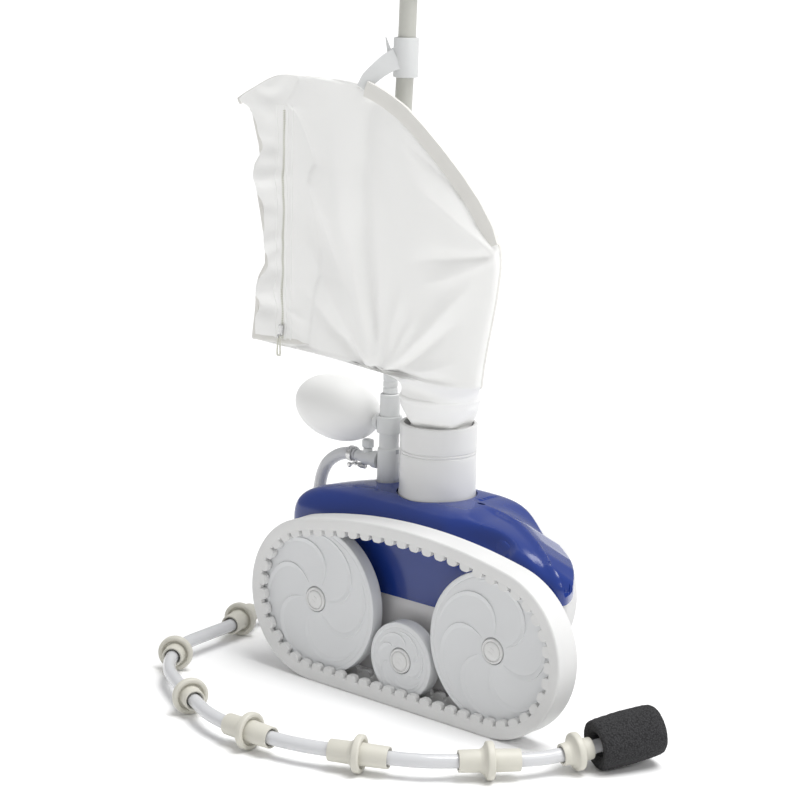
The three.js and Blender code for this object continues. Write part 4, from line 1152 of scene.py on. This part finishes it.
def makeCollar():
    def gathered(r, h, a):
        if h < 236:
            return r, h
        t = smoothStep((h - 240) / 22)
        pleat = abs(math.sin(2.5 * (a + 0.5))) ** 1.3 * (1 - t) * smoothStep((h - 236) / 6) * 4.2
        crumple = 0.9 * noise.noise(Vector((3 * math.cos(a), 3 * math.sin(a), h * 0.09)))
        flat = 1 - 0.02 * (1 - t) * math.cos(2 * a)
        return (r - pleat) * flat + crumple * 0.6, h + 1.2 * (1 - t) * math.sin(3 * a + 1)

    line = [(27.6, 224), (28.8, 224), (28.8, 238), (30.2, 243), (33.2, 248), (35.0, 254), (36.2, 260),
            (36.5, 264), (37.2, 265), (37.4, 266.5), (37.2, 268), (36.2, 269.4), (34.4, 269.4),
            (33.6, 262), (29, 246), (27.6, 238)]
    lathed("collar_cloth", denser(line, 1.2, True), (-32.2, midY, 0), "bagCloth",
           ("bag_collar",), sides=140, soft=0, closed=True, sharp=60, wave=gathered)


def makeStrap():
    bm = bmesh.new()
    turned(bm, rounded([(9.0, 551), (11.3, 551.6), (11.3, 586.2), (9.0, 586.9)], 0.6, closed=True),
           (-84, midY, 0), sides=56, closed=True)
    path = [(-106.5, 58.4, 541), (-101.5, 62, 550), (-95, 67.5, 558), (-89.5, 74.5, 564.5),
            (-85, 80.6, 568)]
    halves = (5.5, 7, 7.5, 8.5, 9.5)
    steps = 24
    line, _ = smoothLine([at(*p) for p in path], steps)
    rows = []
    for i, p in enumerate(line):
        d = wayAt(line, i)
        out = Vector((0.62, -0.75, 0.2)).normalized()
        side = d.cross(out).normalized()
        out = side.cross(d).normalized()
        t = i / steps * 4
        k = min(3, int(t))
        half = (halves[k] + (halves[k + 1] - halves[k]) * (t - k)) / 1000
        rows.append([p + side * half + out * 0.0007, p + out * 0.0011, p - side * half + out * 0.0007,
                     p - side * half - out * 0.0007, p - out * 0.0004, p + side * half - out * 0.0007])
    skinned(bm, rows, looped=False)
    tip = [at(-84, 80, 558), at(-84, 80, 580), at(-93, 79.5, 576), at(-98.5, 79, 586.5),
           at(-95, 79.5, 566)]
    skinned(bm, [[p + Vector((0, d, 0)) for p in tip] for d in (0, 0.0012)], looped=False)
    finished("hose_strap", bm, "mastPlastic", 35, replaces=("bag_strap",))


makeBag()
makeZip()
makeCollar()
makeStrap()
print("bag, zip, collar and strap made")


# ---- pieces kept as drawn, with their finishes
keptLooks = {
    "chassisGrey": ["chassis"],
    "innerGrey": ["vacuum_jet_ring", "water_distributor", "thrust_jet_seat", "turbine_housing",
                  "turbine_cover"],
    "feedHose": ["turbine_feed_pipe", "jet_feed_pipe"],
    "mastPlastic": ["thrust_jet_nozzle", "turbine_wheel"],
    "steel": ["turbine_shaft"],
}
for side in ("front", "rear", "centre", "far"):
    keptLooks["steel"].append(side + "_axle_pin")
    keptLooks["innerGrey"].append(side + "_wheel_bearing")
for lookName, nodeNames in keptLooks.items():
    for nodeName in nodeNames:
        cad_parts[nodeName].material_slots[0].material = looks[lookName]
print("kept pieces finished")


# ---- floor and light
def makeStage():
    mat, tree, shader = nodesOf("floorPale")
    coords = addNode(tree, "ShaderNodeTexCoord")
    mottled(tree, shader, coords, (0.985, 0.985, 0.985), 0.01, 1.5)
    shader.inputs["Roughness"].default_value = 0.8
    shader.inputs["Specular IOR Level"].default_value = 0.1
    bm = bmesh.new()
    bmesh.ops.create_grid(bm, x_segments=2, y_segments=2, size=40)
    floor = newObject("floor", meshOf("floor", bm))
    floor.data.materials.append(mat)


lights = {"sky": 0.46, "sun": 2.5, "sunFrom": (0.30, 0.12, 1.0), "sunAngle": 34}


def aimed(way):
    return Vector((0, 0, -1)).rotation_difference(way).to_matrix().to_4x4()


def areaLight(name, place, target, size, power):
    data = bpy.data.lights.new(name, "AREA")
    data.shape = "RECTANGLE"
    data.size, data.size_y = size
    data.energy = power
    lamp = newObject(name, data)
    lamp.matrix_world = Matrix.Translation(place) @ aimed(Vector(target) - Vector(place))


def makeLights():
    world = bpy.data.worlds.new("world")
    bpy.context.scene.world = world
    world.use_nodes = True
    background = world.node_tree.nodes["Background"]
    background.inputs["Color"].default_value = (1, 1, 1, 1)
    background.inputs["Strength"].default_value = lights["sky"]
    data = bpy.data.lights.new("sun", "SUN")
    data.energy = lights["sun"]
    data.angle = math.radians(lights["sunAngle"])
    newObject("sun", data).matrix_world = aimed(-Vector(lights["sunFrom"]))
    areaLight("softboxRight", (1.5, -0.1, 0.9), (0.1, 0, 0.14), (0.25, 1.0), 3.5)
    areaLight("softboxTop", (-0.3, 0.5, 1.9), (0.0, 0, 0.2), (0.15, 0.9), 3)
    bpy.context.scene.view_settings.view_transform = "Standard"


makeStage()
makeLights()
print("floor and lights set")
